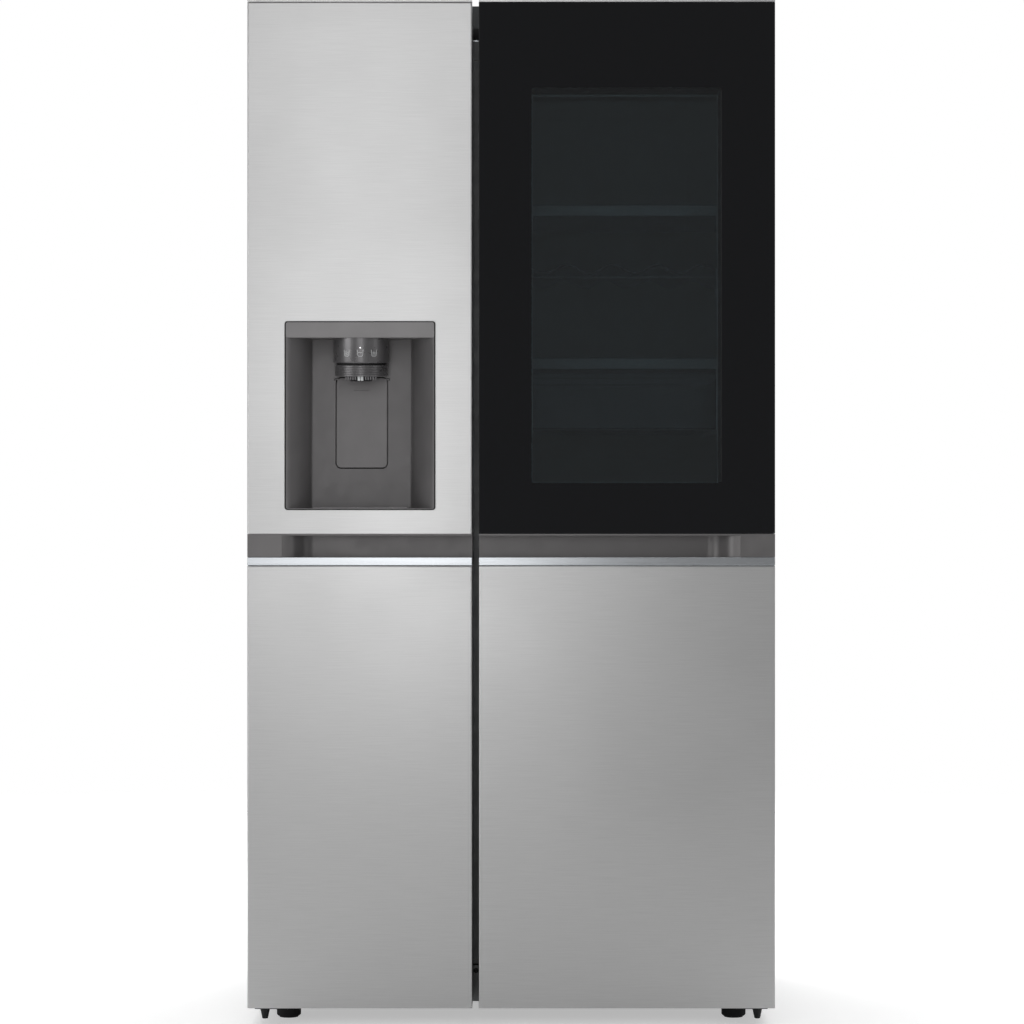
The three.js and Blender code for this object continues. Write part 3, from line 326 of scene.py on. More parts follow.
def prism(outline, axis, low, high):
    """An outline pushed along an axis: drawn in (y, z) for X, (x, z) for Y and (x, y) for Z."""
    place = {
        "X": lambda u, v, w: (w, u, v),
        "Y": lambda u, v, w: (u, w, v),
        "Z": lambda u, v, w: (u, v, w),
    }[axis]
    bm = bmesh.new()
    near = [bm.verts.new(place(u, v, low)) for u, v in outline]
    far = [bm.verts.new(place(u, v, high)) for u, v in outline]
    bm.faces.new(near)
    bm.faces.new(far)
    for i in range(len(outline)):
        j = (i + 1) % len(outline)
        bm.faces.new((near[i], near[j], far[j], far[i]))
    bmesh.ops.recalc_face_normals(bm, faces=bm.faces)
    return bm


def rectangle(us, vs):
    return [(us[0], vs[0]), (us[1], vs[0]), (us[1], vs[1]), (us[0], vs[1])]


def rounded(us, vs, radius, steps=6):
    """A rectangle's outline with round corners."""
    centres = [(us[1] - radius, vs[1] - radius), (us[0] + radius, vs[1] - radius),
               (us[0] + radius, vs[0] + radius), (us[1] - radius, vs[0] + radius)]
    points = []
    for quarter, (u, v) in enumerate(centres):
        for i in range(steps + 1):
            angle = math.pi / 2 * (quarter + i / steps)
            points.append((u + radius * math.cos(angle), v + radius * math.sin(angle)))
    return points


def grown(outline, margin):
    """An outline whose points move away from its middle by a margin, sideways and upright alike."""
    count = len(outline)
    middle = Vector((sum(u for u, _ in outline) / count, sum(v for _, v in outline) / count))
    return [(u + math.copysign(margin, u - middle.x), v + math.copysign(margin, v - middle.y))
            for u, v in outline]


def bevel_edges(bm, chosen, width, segments=3):
    """Rounds the edges whose middle point passes the test."""
    edges = [e for e in bm.edges if chosen((e.verts[0].co + e.verts[1].co) / 2)]
    bmesh.ops.bevel(bm, geom=edges, offset=width, segments=segments, profile=0.5, affect="EDGES",
                    clamp_overlap=True)


def applied(made, *modifiers):
    """Adds modifiers as (type, settings) and turns their result into the piece's mesh."""
    for kind, settings in modifiers:
        modifier = made.modifiers.new(kind.title(), kind)
        for key, value in settings.items():
            setattr(modifier, key, value)
    graph = bpy.context.evaluated_depsgraph_get()
    mesh = bpy.data.meshes.new_from_object(made.evaluated_get(graph))
    made.modifiers.clear()
    made.data = mesh
    return made


def even_out(made):
    """Large faces keep their own normals, so that only the rounded edges turn the light."""
    strongest = 100
    normals = made.modifiers.new("Normals", "WEIGHTED_NORMAL")
    normals.weight = strongest
    normals.keep_sharp = True
    return made


def cutter(bm):
    """A hidden helper object for a boolean cut."""
    mesh = bpy.data.meshes.new("cutter")
    bm.to_mesh(mesh)
    bm.free()
    made = bpy.data.objects.new("cutter", mesh)
    bpy.context.scene.collection.objects.link(made)
    made.hide_render = True
    return made


def drilled(made, bm):
    """Cuts a shape out of a piece."""
    tool = cutter(bm)
    applied(made, ("BOOLEAN", {"object": tool, "operation": "DIFFERENCE", "solver": "EXACT"}))
    bpy.data.objects.remove(tool)
    return made


def soften(node, width):
    """Rounds a CAD node's edges and smooths its round faces, with modifiers only."""
    same_point = 0.00002
    same_plane = math.radians(0.5)
    real_edge = math.radians(40)
    made = frame["nodes"][node]
    made.data.shade_smooth()
    weld = made.modifiers.new("Weld", "WELD")
    weld.merge_threshold = same_point
    flat = made.modifiers.new("Flat", "DECIMATE")
    flat.decimate_type = "DISSOLVE"
    flat.angle_limit = same_plane
    bevel = made.modifiers.new("Bevel", "BEVEL")
    bevel.width = width
    bevel.segments = 2
    bevel.limit_method = "ANGLE"
    bevel.angle_limit = real_edge
    made.modifiers.new("Normals", "WEIGHTED_NORMAL").keep_sharp = True


def block(low, high, bevel=0.0005, segments=2):
    """A box between two corners with all its edges rounded."""
    bm = prism(rectangle((low[0], high[0]), (low[1], high[1])), "Z", low[2], high[2])
    bevel_edges(bm, lambda middle: True, bevel, segments)
    return bm


def turned(profile, steps=48):
    """A closed profile of (radius, height) turned about the Z axis."""
    bm = bmesh.new()
    rings = []
    for i in range(steps):
        angle = 2 * math.pi * i / steps
        rings.append([bm.verts.new((r * math.cos(angle), r * math.sin(angle), z)) for r, z in profile])
    for i in range(steps):
        here, after = rings[i], rings[(i + 1) % steps]
        for k in range(len(profile)):
            n = (k + 1) % len(profile)
            bm.faces.new((here[k], after[k], after[n], here[n]))
    bmesh.ops.remove_doubles(bm, verts=bm.verts, dist=1e-7)
    bmesh.ops.dissolve_degenerate(bm, edges=bm.edges, dist=1e-8)
    return bm


def merged(*parts):
    """Several meshes as one."""
    whole = bmesh.new()
    for part in parts:
        mesh = bpy.data.meshes.new("part")
        part.to_mesh(mesh)
        part.free()
        whole.from_mesh(mesh)
        bpy.data.meshes.remove(mesh)
    return whole


def moved(bm, matrix):
    bmesh.ops.transform(bm, matrix=matrix, verts=bm.verts)
    return bm


def stroke(points, width, thickness, closed=False):
    """A line of even width through points (x, z), standing out of the plane y = 0 towards -Y."""
    count = len(points)
    path = [Vector(point) for point in points]
    sides = []
    for i, here in enumerate(path):
        before = path[i - 1] if i or closed else here
        after = path[(i + 1) % count] if i < count - 1 or closed else here
        along = (after - before).normalized()
        across = Vector((-along.y, along.x)) * width / 2
        sides.append((here + across, here - across))
    bm = bmesh.new()
    rows = [[bm.verts.new((p.x, y, p.y)) for p in pair for y in (0.0, -thickness)] for pair in sides]
    spans = list(zip(rows, rows[1:])) + ([(rows[-1], rows[0])] if closed else [])
    for a, b in spans:
        for k, n in ((0, 1), (1, 3), (3, 2), (2, 0)):
            bm.faces.new((a[k], a[n], b[n], b[k]))
    if not closed:
        for end in (rows[0], rows[-1]):
            bm.faces.new((end[0], end[1], end[3], end[2]))
    bmesh.ops.recalc_face_normals(bm, faces=bm.faces)
    return bm


def screw_head(radius):
    """A pan head with a raised cross, its face towards +Z and its seat at z = 0."""
    height = 0.0022
    wall = 0.4 * height
    dome = 0.6 * height
    profile = [(0.0, 0.0), (radius, 0.0), (radius, wall)]
    profile += [(radius * math.cos(a), wall + dome * math.sin(a)) for a in (0.3, 0.6, 0.9, 1.2)]
    profile.append((0.0, height))
    head = turned(profile, 24)
    arm = 0.55 * radius
    half_width = 0.12 * radius
    for angle in (0.25 * math.pi, 0.75 * math.pi):
        outline = rectangle((-arm, arm), (-half_width, half_width))
        bar = prism(outline, "Z", height - 0.0001, height + 0.00005)
        moved(bar, Matrix.Rotation(angle, 4, "Z"))
        head = merged(head, bar)
    return head


def screws(name, slot, body, places, turn, radius=0.004):
    """A row of screw heads as one piece; turn points them out of their surface."""
    heads = [moved(screw_head(radius), Matrix.Translation(place) @ turn) for place in places]
    piece(name, merged(*heads), slot, body)


FACING_FRONT = Matrix.Rotation(math.pi / 2, 4, "X")
FACING_BACK = Matrix.Rotation(-math.pi / 2, 4, "X")
FACING_UP = Matrix.Identity(4)


# ---------------------------------------------------------------- doors

DOORS = {
    "freezer_door": {"upper": "freezer_door_upper_panel", "lower": "freezer_door_lower_panel"},
    "fridge_door": {"upper": "fridge_door_glass", "lower": "fridge_door_lower_panel"},
}
EDGE_ROUNDING = 0.0028
LIP_DEPTH = 0.022
SKIN = 0.0015
CAP = 0.0035
CAP_ROUNDING = 0.0008
HOUSING_LIP = 0.014
TOUCHING = 1e-6


def plate(name, body, slot, outline, holes, front, back, bevel):
    """A flat plate across Y with round edges, its outline and holes drawn in (x, z)."""
    curve = bpy.data.curves.new(name, "CURVE")
    curve.dimensions = "2D"
    curve.fill_mode = "BOTH"
    curve.extrude = (back - front) / 2 - bevel
    curve.bevel_depth = bevel
    curve.bevel_resolution = 3
    curve.offset = -bevel
    for points in [outline, *holes]:
        spline = curve.splines.new("POLY")
        spline.points.add(len(points) - 1)
        for point, (x, z) in zip(spline.points, points):
            point.co = (x, z, 0.0, 1.0)
        spline.use_cyclic_u = True
    source = bpy.data.objects.new(name + "_curve", curve)
    bpy.context.scene.collection.objects.link(source)
    graph = bpy.context.evaluated_depsgraph_get()
    mesh = bpy.data.meshes.new_from_object(source.evaluated_get(graph))
    bpy.data.objects.remove(source)
    bm = bmesh.new()
    bm.from_mesh(mesh)
    moved(bm, Matrix.Translation((0, (front + back) / 2, 0)) @ FACING_FRONT)
    bmesh.ops.remove_doubles(bm, verts=bm.verts, dist=0.00001)
    bpy.data.meshes.remove(mesh)
    return even_out(piece(name, bm, slot, body))


def front_shell(name, body, xs, profile):
    """A door skin from a side profile in (y, z): open at the back and below, its front edges rounded."""
    front = min(y for y, _ in profile)
    back = max(y for y, _ in profile)
    bm = prism(profile, "X", *xs)
    open_faces = [f for f in bm.faces
                  if abs(f.calc_center_median().y - back) < TOUCHING or f.normal.z < -0.9]
    bmesh.ops.delete(bm, geom=open_faces, context="FACES")
    bevel_edges(bm, lambda middle: abs(middle.y - front) < TOUCHING, EDGE_ROUNDING, segments=4)
    made = piece(name, bm, "silver_paint", body)
    return applied(made, ("SOLIDIFY", {"thickness": SKIN, "offset": -1.0}))


def door_cap(name, body, xs, front, slab_top):
    """The pale strip along the top of a door: over the front edge and down behind it."""
    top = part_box("freezer_door_upper_panel")[1].z
    back = front + LIP_DEPTH
    wall = 0.0015
    profile = [(front, top - CAP), (front, top), (back, top), (back, slab_top),
               (back - wall, slab_top), (back - wall, top - wall), (front + wall, top - wall),
               (front + wall, top - CAP)]
    bm = prism(profile, "X", *xs)
    bevel_edges(bm, lambda middle: middle.z > top - TOUCHING, CAP_ROUNDING)
    even_out(piece(name, bm, "silver_paint", body))


def freezer_upper_skin():
    """The freezer door's upper sheet with the dispenser's hole, the bright rim round it and the cap."""
    low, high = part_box("freezer_door_upper_panel")
    slab_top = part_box("freezer_door_liner")[1].z
    lip_back = low.y + LIP_DEPTH - 0.002
    lip_top = high.z - CAP - 0.0003
    door_cap("freezer_door_cap", "freezer_door", (low.x, high.x), low.y, slab_top)
    profile = [(low.y, low.z), (high.y, low.z), (high.y, slab_top), (lip_back, slab_top),
               (lip_back, lip_top), (low.y, lip_top)]
    skin = front_shell("freezer_door_upper_skin", "freezer_door", (low.x, high.x), profile)
    hole_low, hole_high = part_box("dispenser_housing")
    clear = 0.0003
    xs = (hole_low.x - clear, hole_high.x + clear)
    outline = rounded(xs, (hole_low.z + HOUSING_LIP, hole_high.z), radius=0.005)
    drilled(skin, prism(outline, "Y", low.y - 0.01, low.y + 0.01))
    even_out(skin)
    outside = grown(outline, margin=0.0012)
    lip = plate("dispenser_rim", "freezer_door", "silver_paint", outside, [outline],
                front=low.y - 0.0002, back=low.y + 0.0016, bevel=0.0005)
    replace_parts(lip, "freezer_door_upper_panel")
    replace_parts(skin, "freezer_door_upper_panel")


def lower_skin(body, node):
    """A door's lower sheet."""
    low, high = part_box(node)
    profile = rectangle((low.y, high.y), (low.z, high.z))
    skin = even_out(front_shell(node + "_skin", body, (low.x, high.x), profile))
    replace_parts(skin, node)


def door_edges(body, upper, lower):
    """What closes a door's sides: a narrow strip behind the skins, and a plate behind the groove's end."""
    low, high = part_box(lower)
    groove_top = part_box(upper)[0].z
    pocket_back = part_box(body.replace("door", "handle_pocket"))[1].y
    slab_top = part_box(body + "_liner")[1].z
    thick = 0.0011
    clear = 0.0002
    strip_depth = 0.0027
    short = 0.004
    rounding = 0.0003
    sheets = []
    for x0, x1 in ((low.x, low.x + thick), (high.x - thick, high.x)):
        strip_low = (x0, high.y + clear, low.z + short)
        strip_high = (x1, high.y + strip_depth, slab_top - short)
        plate_low = (x0, pocket_back + clear, high.z + clear)
        plate_high = (x1, high.y + clear, groove_top - clear)
        sheets.append(block(strip_low, strip_high, rounding))
        sheets.append(block(plate_low, plate_high, rounding))
    piece(body + "_edges", merged(*sheets), "groove_plastic", body)


def door_glass():
    """The fridge door's black glass: a border with a see-through window in it, and the cap above."""
    low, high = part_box("fridge_door_glass")
    slab_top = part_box("fridge_door_liner")[1].z
    proud = 0.0002
    door_cap("fridge_door_cap", "fridge_door", (low.x, high.x), low.y - proud, slab_top)
    pane_low, pane_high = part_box("fridge_window_pane")
    hole = rounded((pane_low.x, pane_high.x), (pane_low.z, pane_high.z), radius=0.004)
    outline = rounded((low.x, high.x), (low.z, high.z), radius=0.002)
    border = plate("door_glass_border", "fridge_door", "black_glass", outline, [hole],
                   front=low.y, back=high.y, bevel=0.0008)
    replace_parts(border, "fridge_door_glass")
    view = plate("door_glass_window", "fridge_door", "window_glass", hole, [],
                 front=low.y + proud, back=high.y, bevel=0.0)
    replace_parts(view, "fridge_door_glass")
    return border, view


# ---------------------------------------------------------------- dispenser

# Heights along the nozzle's axis, measured from the niche's ceiling.
DRUM_TOP = 0.004
LAMP_HEIGHT = -0.0137
ICON_HEIGHT = -0.0230
DRUM_WALL_END = -0.0385
DRUM_BOTTOM = -0.0410
COLLAR_TOP = -0.0445
NECK_BOTTOM = -0.0470
COLLAR_BOTTOM = -0.0636
GUIDES_BOTTOM = -0.0700
SPOUT_BOTTOM = -0.0712
# Bottom of the black disc of painted shadow under the spout.
SHADOW_DISC_BOTTOM = -0.0725

NOZZLE_RADIUS = 0.0485
NOZZLE_SETBACK = 0.053
NOZZLE_LEAN = 0.07
ICON_SPACING = 0.0248
ICON_LINE = 0.0007
ICON_RELIEF = 0.0001
PAD_LEAN = 0.0508
PAD_GAP = 0.0021


def nozzle_space():
    """The nozzle's own frame: its axis is Z, and its top is at the niche's ceiling."""
    low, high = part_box("dispenser_nozzle")
    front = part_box("freezer_door_upper_panel")[0].y
    centre = ((low.x + high.x) / 2, front + NOZZLE_SETBACK, high.z + 0.0003)
    return Matrix.Translation(centre) @ Matrix.Rotation(NOZZLE_LEAN, 4, "X")


def on_drum(bm, radius):
    """Wraps a flat drawing in front of the plane y = 0 round the nozzle's drum."""
    for vert in bm.verts:
        angle = vert.co.x / radius
        out = radius - vert.co.y
        vert.co = (out * math.sin(angle), -out * math.cos(angle), vert.co.z)
    return moved(bm, nozzle_space())


def cup(x, z):
    """Outline of a small cup that is open at its top."""
    right = [(0.0030, -0.0055), (0.0043, -0.0040), (0.0052, 0.0058)]
    left = [(-dx, dz) for dx, dz in reversed(right)]
    return [(x + dx, z + dz) for dx, dz in left + right]


def ice_cubes(x, z):
    """Three small squares."""
    half = 0.0014
    line = 0.0005
    places = [(-0.0016, -0.0024), (0.0014, -0.0010), (-0.0008, 0.0018)]
    outlines = [rectangle((x + dx - half, x + dx + half), (z + dz - half, z + dz + half))
                for dx, dz in places]
    return [stroke(outline, line, ICON_RELIEF, closed=True) for outline in outlines]


def water(x, z):
    """One wavy line."""
    wave = [(-0.0036, 0.0010), (-0.0012, 0.0016), (0.0012, 0.0004), (0.0036, 0.0010)]
    return [stroke([(x + dx, z + dz) for dx, dz in wave], ICON_LINE, ICON_RELIEF)]


def crushed_ice(x, z):
    """Three rows of three flakes."""
    line = 0.0009
    half = 0.0006
    rise = 0.0004
    flakes = []
    for row in range(3):
        for column in range(3):
            x0 = x + (column - 1) * 0.0021
            z0 = z + (row - 1) * 0.0022 - 0.0012
            flakes.append(stroke([(x0 - half, z0), (x0 + half, z0 + rise)], line, ICON_RELIEF))
    return flakes


def dispenser_icons():
    """Three cups on the drum: with ice cubes, with water, and with crushed ice."""
    marks = [stroke(cup(side * ICON_SPACING, ICON_HEIGHT), ICON_LINE, ICON_RELIEF) for side in (-1, 0, 1)]
    marks += ice_cubes(-ICON_SPACING, ICON_HEIGHT)
    marks += water(0.0, ICON_HEIGHT)
    marks += crushed_ice(ICON_SPACING, ICON_HEIGHT)
    piece("dispenser_icons", on_drum(merged(*marks), NOZZLE_RADIUS), "white_plastic", "freezer_door")


def dispenser_lamp():
    """The small light over the middle cup."""
    radius = 0.0011
    proud = 0.00005
    lens = turned([(0.0, 0.0), (radius, 0.0), (radius, 0.0002), (0.0, 0.0003)], 16)
    moved(lens, Matrix.Translation((0, -proud, LAMP_HEIGHT)) @ FACING_FRONT)
    made = piece("dispenser_lamp", on_drum(lens, NOZZLE_RADIUS), "white_plastic", "freezer_door")
    made.data.materials[0] = MATERIALS["lamp"]


def nozzle_drum():
    """The round housing that carries the icons, with a soft lower edge over a dark neck."""
    edge = 0.0025
    neck_radius = NOZZLE_RADIUS - 0.006
    neck_top = DRUM_BOTTOM + 0.0010
    profile = [(0.0, DRUM_TOP), (NOZZLE_RADIUS, DRUM_TOP), (NOZZLE_RADIUS, DRUM_WALL_END)]
    profile += [(NOZZLE_RADIUS - edge + edge * math.cos(a), DRUM_WALL_END - edge * math.sin(a))
                for a in (0.4, 0.8, 1.2, 1.57)]
    profile.append((0.0, DRUM_BOTTOM))
    drum = piece("nozzle_drum", moved(turned(profile, 96), nozzle_space()), "nozzle_plastic", "freezer_door")
    neck_profile = [(0.0, NECK_BOTTOM), (neck_radius, NECK_BOTTOM), (neck_radius, neck_top), (0.0, neck_top)]
    neck = moved(turned(neck_profile, 72), nozzle_space())
    piece("nozzle_neck", neck, "black_rubber", "freezer_door")
    return drum


def nozzle_collar():
    """The ribbed ring below the drum."""
    radius = NOZZLE_RADIUS - 0.0023
    ribs = 6
    ribs_bottom = COLLAR_BOTTOM + 0.0006
    step = (COLLAR_TOP - ribs_bottom) / ribs
    profile = [(0.0, COLLAR_BOTTOM), (radius - 0.0005, COLLAR_BOTTOM)]
    for i in range(ribs):
        z = ribs_bottom + i * step
        profile += [(radius, z + 0.15 * step), (radius, z + 0.7 * step), (radius - 0.0007, z + 0.85 * step)]
    profile += [(radius - 0.0006, COLLAR_TOP), (0.0, COLLAR_TOP)]
    collar = moved(turned(profile, 96), nozzle_space())
    piece("nozzle_collar", collar, "nozzle_plastic", "freezer_door", smooth=20.0)


def nozzle_guides():
    """Two rows of small guides round the front of the spout."""
    radius = 0.040
    half_width = 0.0014
    thickness = 0.004
    guides_top = -0.0630
    guides = []
    for side in (-1, 1):
        for i in range(5):
            x = side * (0.0090 + 0.0042 * i)
            y = -math.sqrt(radius ** 2 - x ** 2)
            guide_low = (x - half_width, y, GUIDES_BOTTOM)
            guide_high = (x + half_width, y + thickness, guides_top)
            guides.append(block(guide_low, guide_high, bevel=0.0003))
    piece("nozzle_guides", moved(merged(*guides), nozzle_space()), "nozzle_plastic", "freezer_door")


def water_spout():
    """Two pale halves between the rows of guides."""
    width = 0.0046
    front = -0.0402
    back = -0.0342
    top = -0.0625
    halves = [block((x, front, SPOUT_BOTTOM), (x + width, back, top)) for x in (-0.0050, 0.0004)]
    piece("water_spout", moved(merged(*halves), nozzle_space()), "white_plastic", "freezer_door")


def nozzle_shadow_disc():
    """Painted shadow: a black round disc behind and under the spout, standing in for the shade beneath it."""
    radius = 0.0200
    rounding = 0.0020
    top = -0.0630
    behind = Matrix.Translation((0, -0.0150, 0))
    profile = [(0.0, SHADOW_DISC_BOTTOM), (radius - rounding, SHADOW_DISC_BOTTOM), (radius, SHADOW_DISC_BOTTOM + rounding),
               (radius, top), (0.0, top)]
    # Painted shadow: this black disc darkens the space under the spout; it is no foot of the nozzle.
    base = moved(turned(profile, 40), nozzle_space() @ behind)
    piece("nozzle_shadow_disc", base, "black_rubber", "freezer_door")


def pad_gap_shade():
    """Painted shade: a near-black ring round the push pad, just inside the gap between the pad and the
    niche's back, that darkens the gap.
    """
    low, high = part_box("dispenser_pad")
    relief = 0.0004
    clear = 0.0003
    half_width = (high.x - low.x) / 2
    half_height = (high.z - low.z) / 2
    around = rounded((-half_width, half_width), (-half_height, half_height), radius=0.008)
    line = stroke(grown(around, PAD_GAP / 2), PAD_GAP - clear, relief, closed=True)
    centre = ((low.x + high.x) / 2, (low.y + high.y) / 2 - relief, (low.z + high.z) / 2)
    place = Matrix.Translation(centre) @ Matrix.Rotation(-PAD_LEAN, 4, "X")
    piece("pad_gap_shade", moved(line, place), "painted_gap_shade", "freezer_door")


def housing_front():
    """The seam round the housing inside its bright rim, drawn as a near-black ring of painted shade, and the
    paler face of its top bar.
    """
    low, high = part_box("dispenser_housing")
    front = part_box("freezer_door_upper_panel")[0].y
    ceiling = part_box("dispenser_nozzle")[1].z
    seam = 0.0016
    relief = 0.0006
    xs = (low.x + seam / 2, high.x - seam / 2)
    zs = (low.z + HOUSING_LIP + seam / 2, high.z - seam / 2)
    # Painted shade: a near-black ring that darkens the seam round the housing.
    line = stroke(rounded(xs, zs, radius=0.0045), seam, relief, closed=True)
    piece("housing_seam_shade", moved(line, Matrix.Translation((0, front + relief, 0))), "painted_gap_shade", "freezer_door")
    face = rounded((low.x + seam, high.x - seam), (ceiling + 0.0004, high.z - seam), radius=0.0035)
    plate("dispenser_bar", "freezer_door", "bar_plastic", face, [],
          front=front - 0.0002, back=front + 0.0008, bevel=0.0003)


def dispenser_details():
    pad_gap_shade()
    housing_front()
    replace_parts(nozzle_drum(), "dispenser_nozzle")
    dispenser_icons()
    dispenser_lamp()
    nozzle_collar()
    nozzle_guides()
    water_spout()
    nozzle_shadow_disc()


# ---------------------------------------------------------------- cabinet

WALL = 0.003
SHELVES = ["fridge_shelf_upper", "fridge_shelf_middle", "crisper_shelf", "freezer_shelf_upper",
           "freezer_shelf_lower"]


def gap_details():
    """What shows between the doors: the end cap of the bar with its screw, a thin black strip of painted
    shade over the cap's top, a black strip of painted shadow near the top of the bar, and a chrome strip
    under it as a painted highlight on the case's top edge.
    """
    low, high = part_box("mullion_bar")
    case_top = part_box("cabinet_shell")[1].z
    door_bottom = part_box("fridge_door_lower_panel")[0].z
    middle = (low.x + high.x) / 2
    half_width = 0.011
    front = low.y - 0.0004
    cap_top = door_bottom + 0.0582
    cap_thickness = 0.0012

    def strip(name, slot, bottom, top, thickness=cap_thickness):
        strip_low = (middle - half_width, front - thickness, bottom)
        strip_high = (middle + half_width, front, top)
        piece(name, block(strip_low, strip_high, bevel=0.0003), slot, "cabinet")

    strip("mullion_end_cap", "case_paint", door_bottom - 0.005, cap_top)
    # Painted shade: a thin black strip that darkens the gap above the end cap.
    strip("mullion_end_gap_shade", "black_rubber", cap_top, cap_top + 0.003, 0.0004)
    # Painted shadow: a black strip standing in for the shadow between the case top and the hinge cover.
    strip("mullion_top_painted_shadow", "black_rubber", case_top - 0.0205, case_top - 0.0005)
    # Painted highlight: a chrome strip standing in for the light caught by the case's top front edge.
    strip("mullion_top_edge_highlight", "chrome_trim", case_top - 0.0235, case_top - 0.0208, 0.002)
    place = (middle, front - cap_thickness, cap_top - 0.009)
    screws("mullion_screw", "black_steel", "cabinet", [place], FACING_FRONT, radius=0.0045)


def cover_screws():
    """Four screws along the rear of the hinge cover."""
    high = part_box("top_cover")[1]
    from_rear = 0.020
    inner = 0.12
    outer = 0.41
    places = [(side * x, high.y - from_rear, high.z) for side in (-1, 1) for x in (inner, outer)]
    screws("top_cover_screws", "black_steel", "cabinet", places, FACING_UP)


def rear_screws():
    """The rear panel's screws down both sides and along its top, and the machine room cover's two rows."""
    low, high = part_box("back_panel")
    edge = 0.012
    from_side = 0.31
    left = low.x + edge
    right = high.x - edge
    top = high.z - edge
    heights = [low.z + 0.02, 0.62, 0.98, 1.34, top]
    places = [(x, high.y, z) for x in (left, right) for z in heights]
    places += [(x, high.y, top) for x in (low.x + from_side, high.x - from_side)]
    screws("back_panel_screws", "zinc_steel", "cabinet", places, FACING_BACK)
    cover_low, cover_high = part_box("machine_room_cover")
    cover_edge = 0.008
    inner = 0.15
    outer = 0.44
    places = [(x, cover_high.y, z) for x in (-outer, -inner, inner, outer)
              for z in (cover_low.z + cover_edge, cover_high.z - cover_edge)]
    screws("machine_cover_screws", "zinc_steel", "cabinet", places, FACING_BACK)


def back_ribs():
    """Pressed fields that stiffen the rear panel, two across and two up."""
    low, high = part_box("back_panel")
    rib = 0.012
    from_side = 0.06
    from_middle = 0.02
    heights = [(0.36, 0.94), (1.00, 1.66)]
    sides = [(low.x + from_side, -from_middle), (from_middle, high.x - from_side)]
    for i, zs in enumerate(heights):
        for k, xs in enumerate(sides):
            outer = rounded(xs, zs, radius=0.03, steps=8)
            inner = rounded((xs[0] + rib, xs[1] - rib), (zs[0] + rib, zs[1] - rib), radius=0.02, steps=8)
            plate(f"back_rib_{i}{k}", "cabinet", "zinc_steel", outer, [inner],
                  front=high.y - 0.0006, back=high.y + 0.0016, bevel=0.0010)


def cord_grommet():
    """The rubber ring in the sleeve where the mains cord leaves the machine room."""
    low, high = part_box("machine_room_cover")
    from_side = 0.055
    from_bottom = 0.0777
    bore = 0.0045
    sleeve = 0.0088
    flange = 0.0125
    inside = -0.0085
    profile = [(bore, inside), (sleeve, inside), (sleeve, 0.0002), (flange, 0.0006), (flange, 0.0018),
               (bore, 0.0026)]
    place = Matrix.Translation((low.x + from_side, high.y, low.z + from_bottom))
    piece("cord_grommet", moved(turned(profile, 32), place @ FACING_BACK), "black_rubber", "cabinet")


def gasket_folds(node, body):
    """The two folds that let a door's gasket give."""
    low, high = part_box(node)
    depth = high.y - low.y
    inward = 0.0015
    outward = 0.0016
    half = 0.0009
    inner = rectangle((low.x + inward, high.x - inward), (low.z + inward, high.z - inward))
    xs = (low.x - outward, high.x + outward)
    zs = (low.z - outward, high.z + outward)
    outer = rounded(xs, zs, radius=0.004)
    for fold, share in (("near", 0.3), ("far", 0.7)):
        y = low.y + share * depth
        plate(f"{body}_gasket_{fold}_fold", body, "gasket_rubber", outer, [inner],
              front=y - half, back=y + half, bevel=0.0007)


def shelf_trims():
    """A pale strip along the front edge of each glass shelf."""
    from_side = 0.0112
    from_face = 0.002
    for node in SHELVES:
        low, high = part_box(node)
        trim = block((low.x + from_side, low.y - 0.0012, low.z + from_face),
                     (high.x - from_side, low.y + 0.0002, high.z - from_face))
        piece(node + "_trim", trim, "white_plastic", "cabinet")


def room_lamps():
    """A flat diffuser in the ceiling of each room."""
    half_width = 0.075
    front = -0.13
    back = -0.05
    drop = 0.006
    sunk = 0.0004
    for node in ("freezer_liner", "fridge_liner"):
        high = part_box(node)[1]
        shelf_low, shelf_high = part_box(node.replace("liner", "shelf_upper"))
        middle = (shelf_low.x + shelf_high.x) / 2
        ceiling = high.z - WALL
        diffuser = block((middle - half_width, front, ceiling - drop),
                         (middle + half_width, back, ceiling + sunk), bevel=0.002, segments=3)
        piece(node.replace("liner", "lamp"), diffuser, "white_plastic", "cabinet")


def bin_rims():
    """A thicker rolled edge around the top of each door bin."""
    height = 0.007
    bins = {"fridge_door_bin_upper": "fridge_door", "fridge_door_bin_lower": "fridge_door",
            "freezer_door_bin": "freezer_door"}
    for node, body in bins.items():
        low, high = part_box(node)
        outer = rounded((low.x, high.x), (low.y, high.y + 0.0008), radius=0.003)
        inner = rounded((low.x + WALL, high.x - WALL), (low.y + WALL, high.y - WALL), radius=0.002)
        hollow = prism(inner, "Z", high.z - 0.012, high.z + 0.003)
        rolled = prism(outer, "Z", high.z - height, high.z + 0.0006)
        rim = piece(node + "_rim", rolled, "white_plastic", body)
        even_out(drilled(rim, hollow))


def inside_details():
    shelf_trims()
    room_lamps()
    bin_rims()
    for door_body in DOORS:
        gasket_folds(door_body + "_gasket", door_body)


def cabinet_details():
    gap_details()
    cover_screws()
    rear_screws()
    back_ribs()
    cord_grommet()


# ---------------------------------------------------------------- scene

SOFT_EDGE = 0.0010
OTHER_SOFT_EDGES = {
    "cabinet_shell": 0.0006,
    "back_panel": 0.0005,
    "base_frame": 0.0006,
    "freezer_liner": 0.0012,
    "fridge_liner": 0.0012,
    "mullion_bar": 0.0005,
    "top_cover": 0.0012,
    "upper_hinge_left": 0.0008,
    "upper_hinge_right": 0.0008,
    "freezer_door_trim": 0.0012,
    "fridge_door_trim": 0.0012,
    "dispenser_pad": 0.0012,
    "dispenser_nozzle": 0.0008,
    "drip_tray": 0.0006,
}


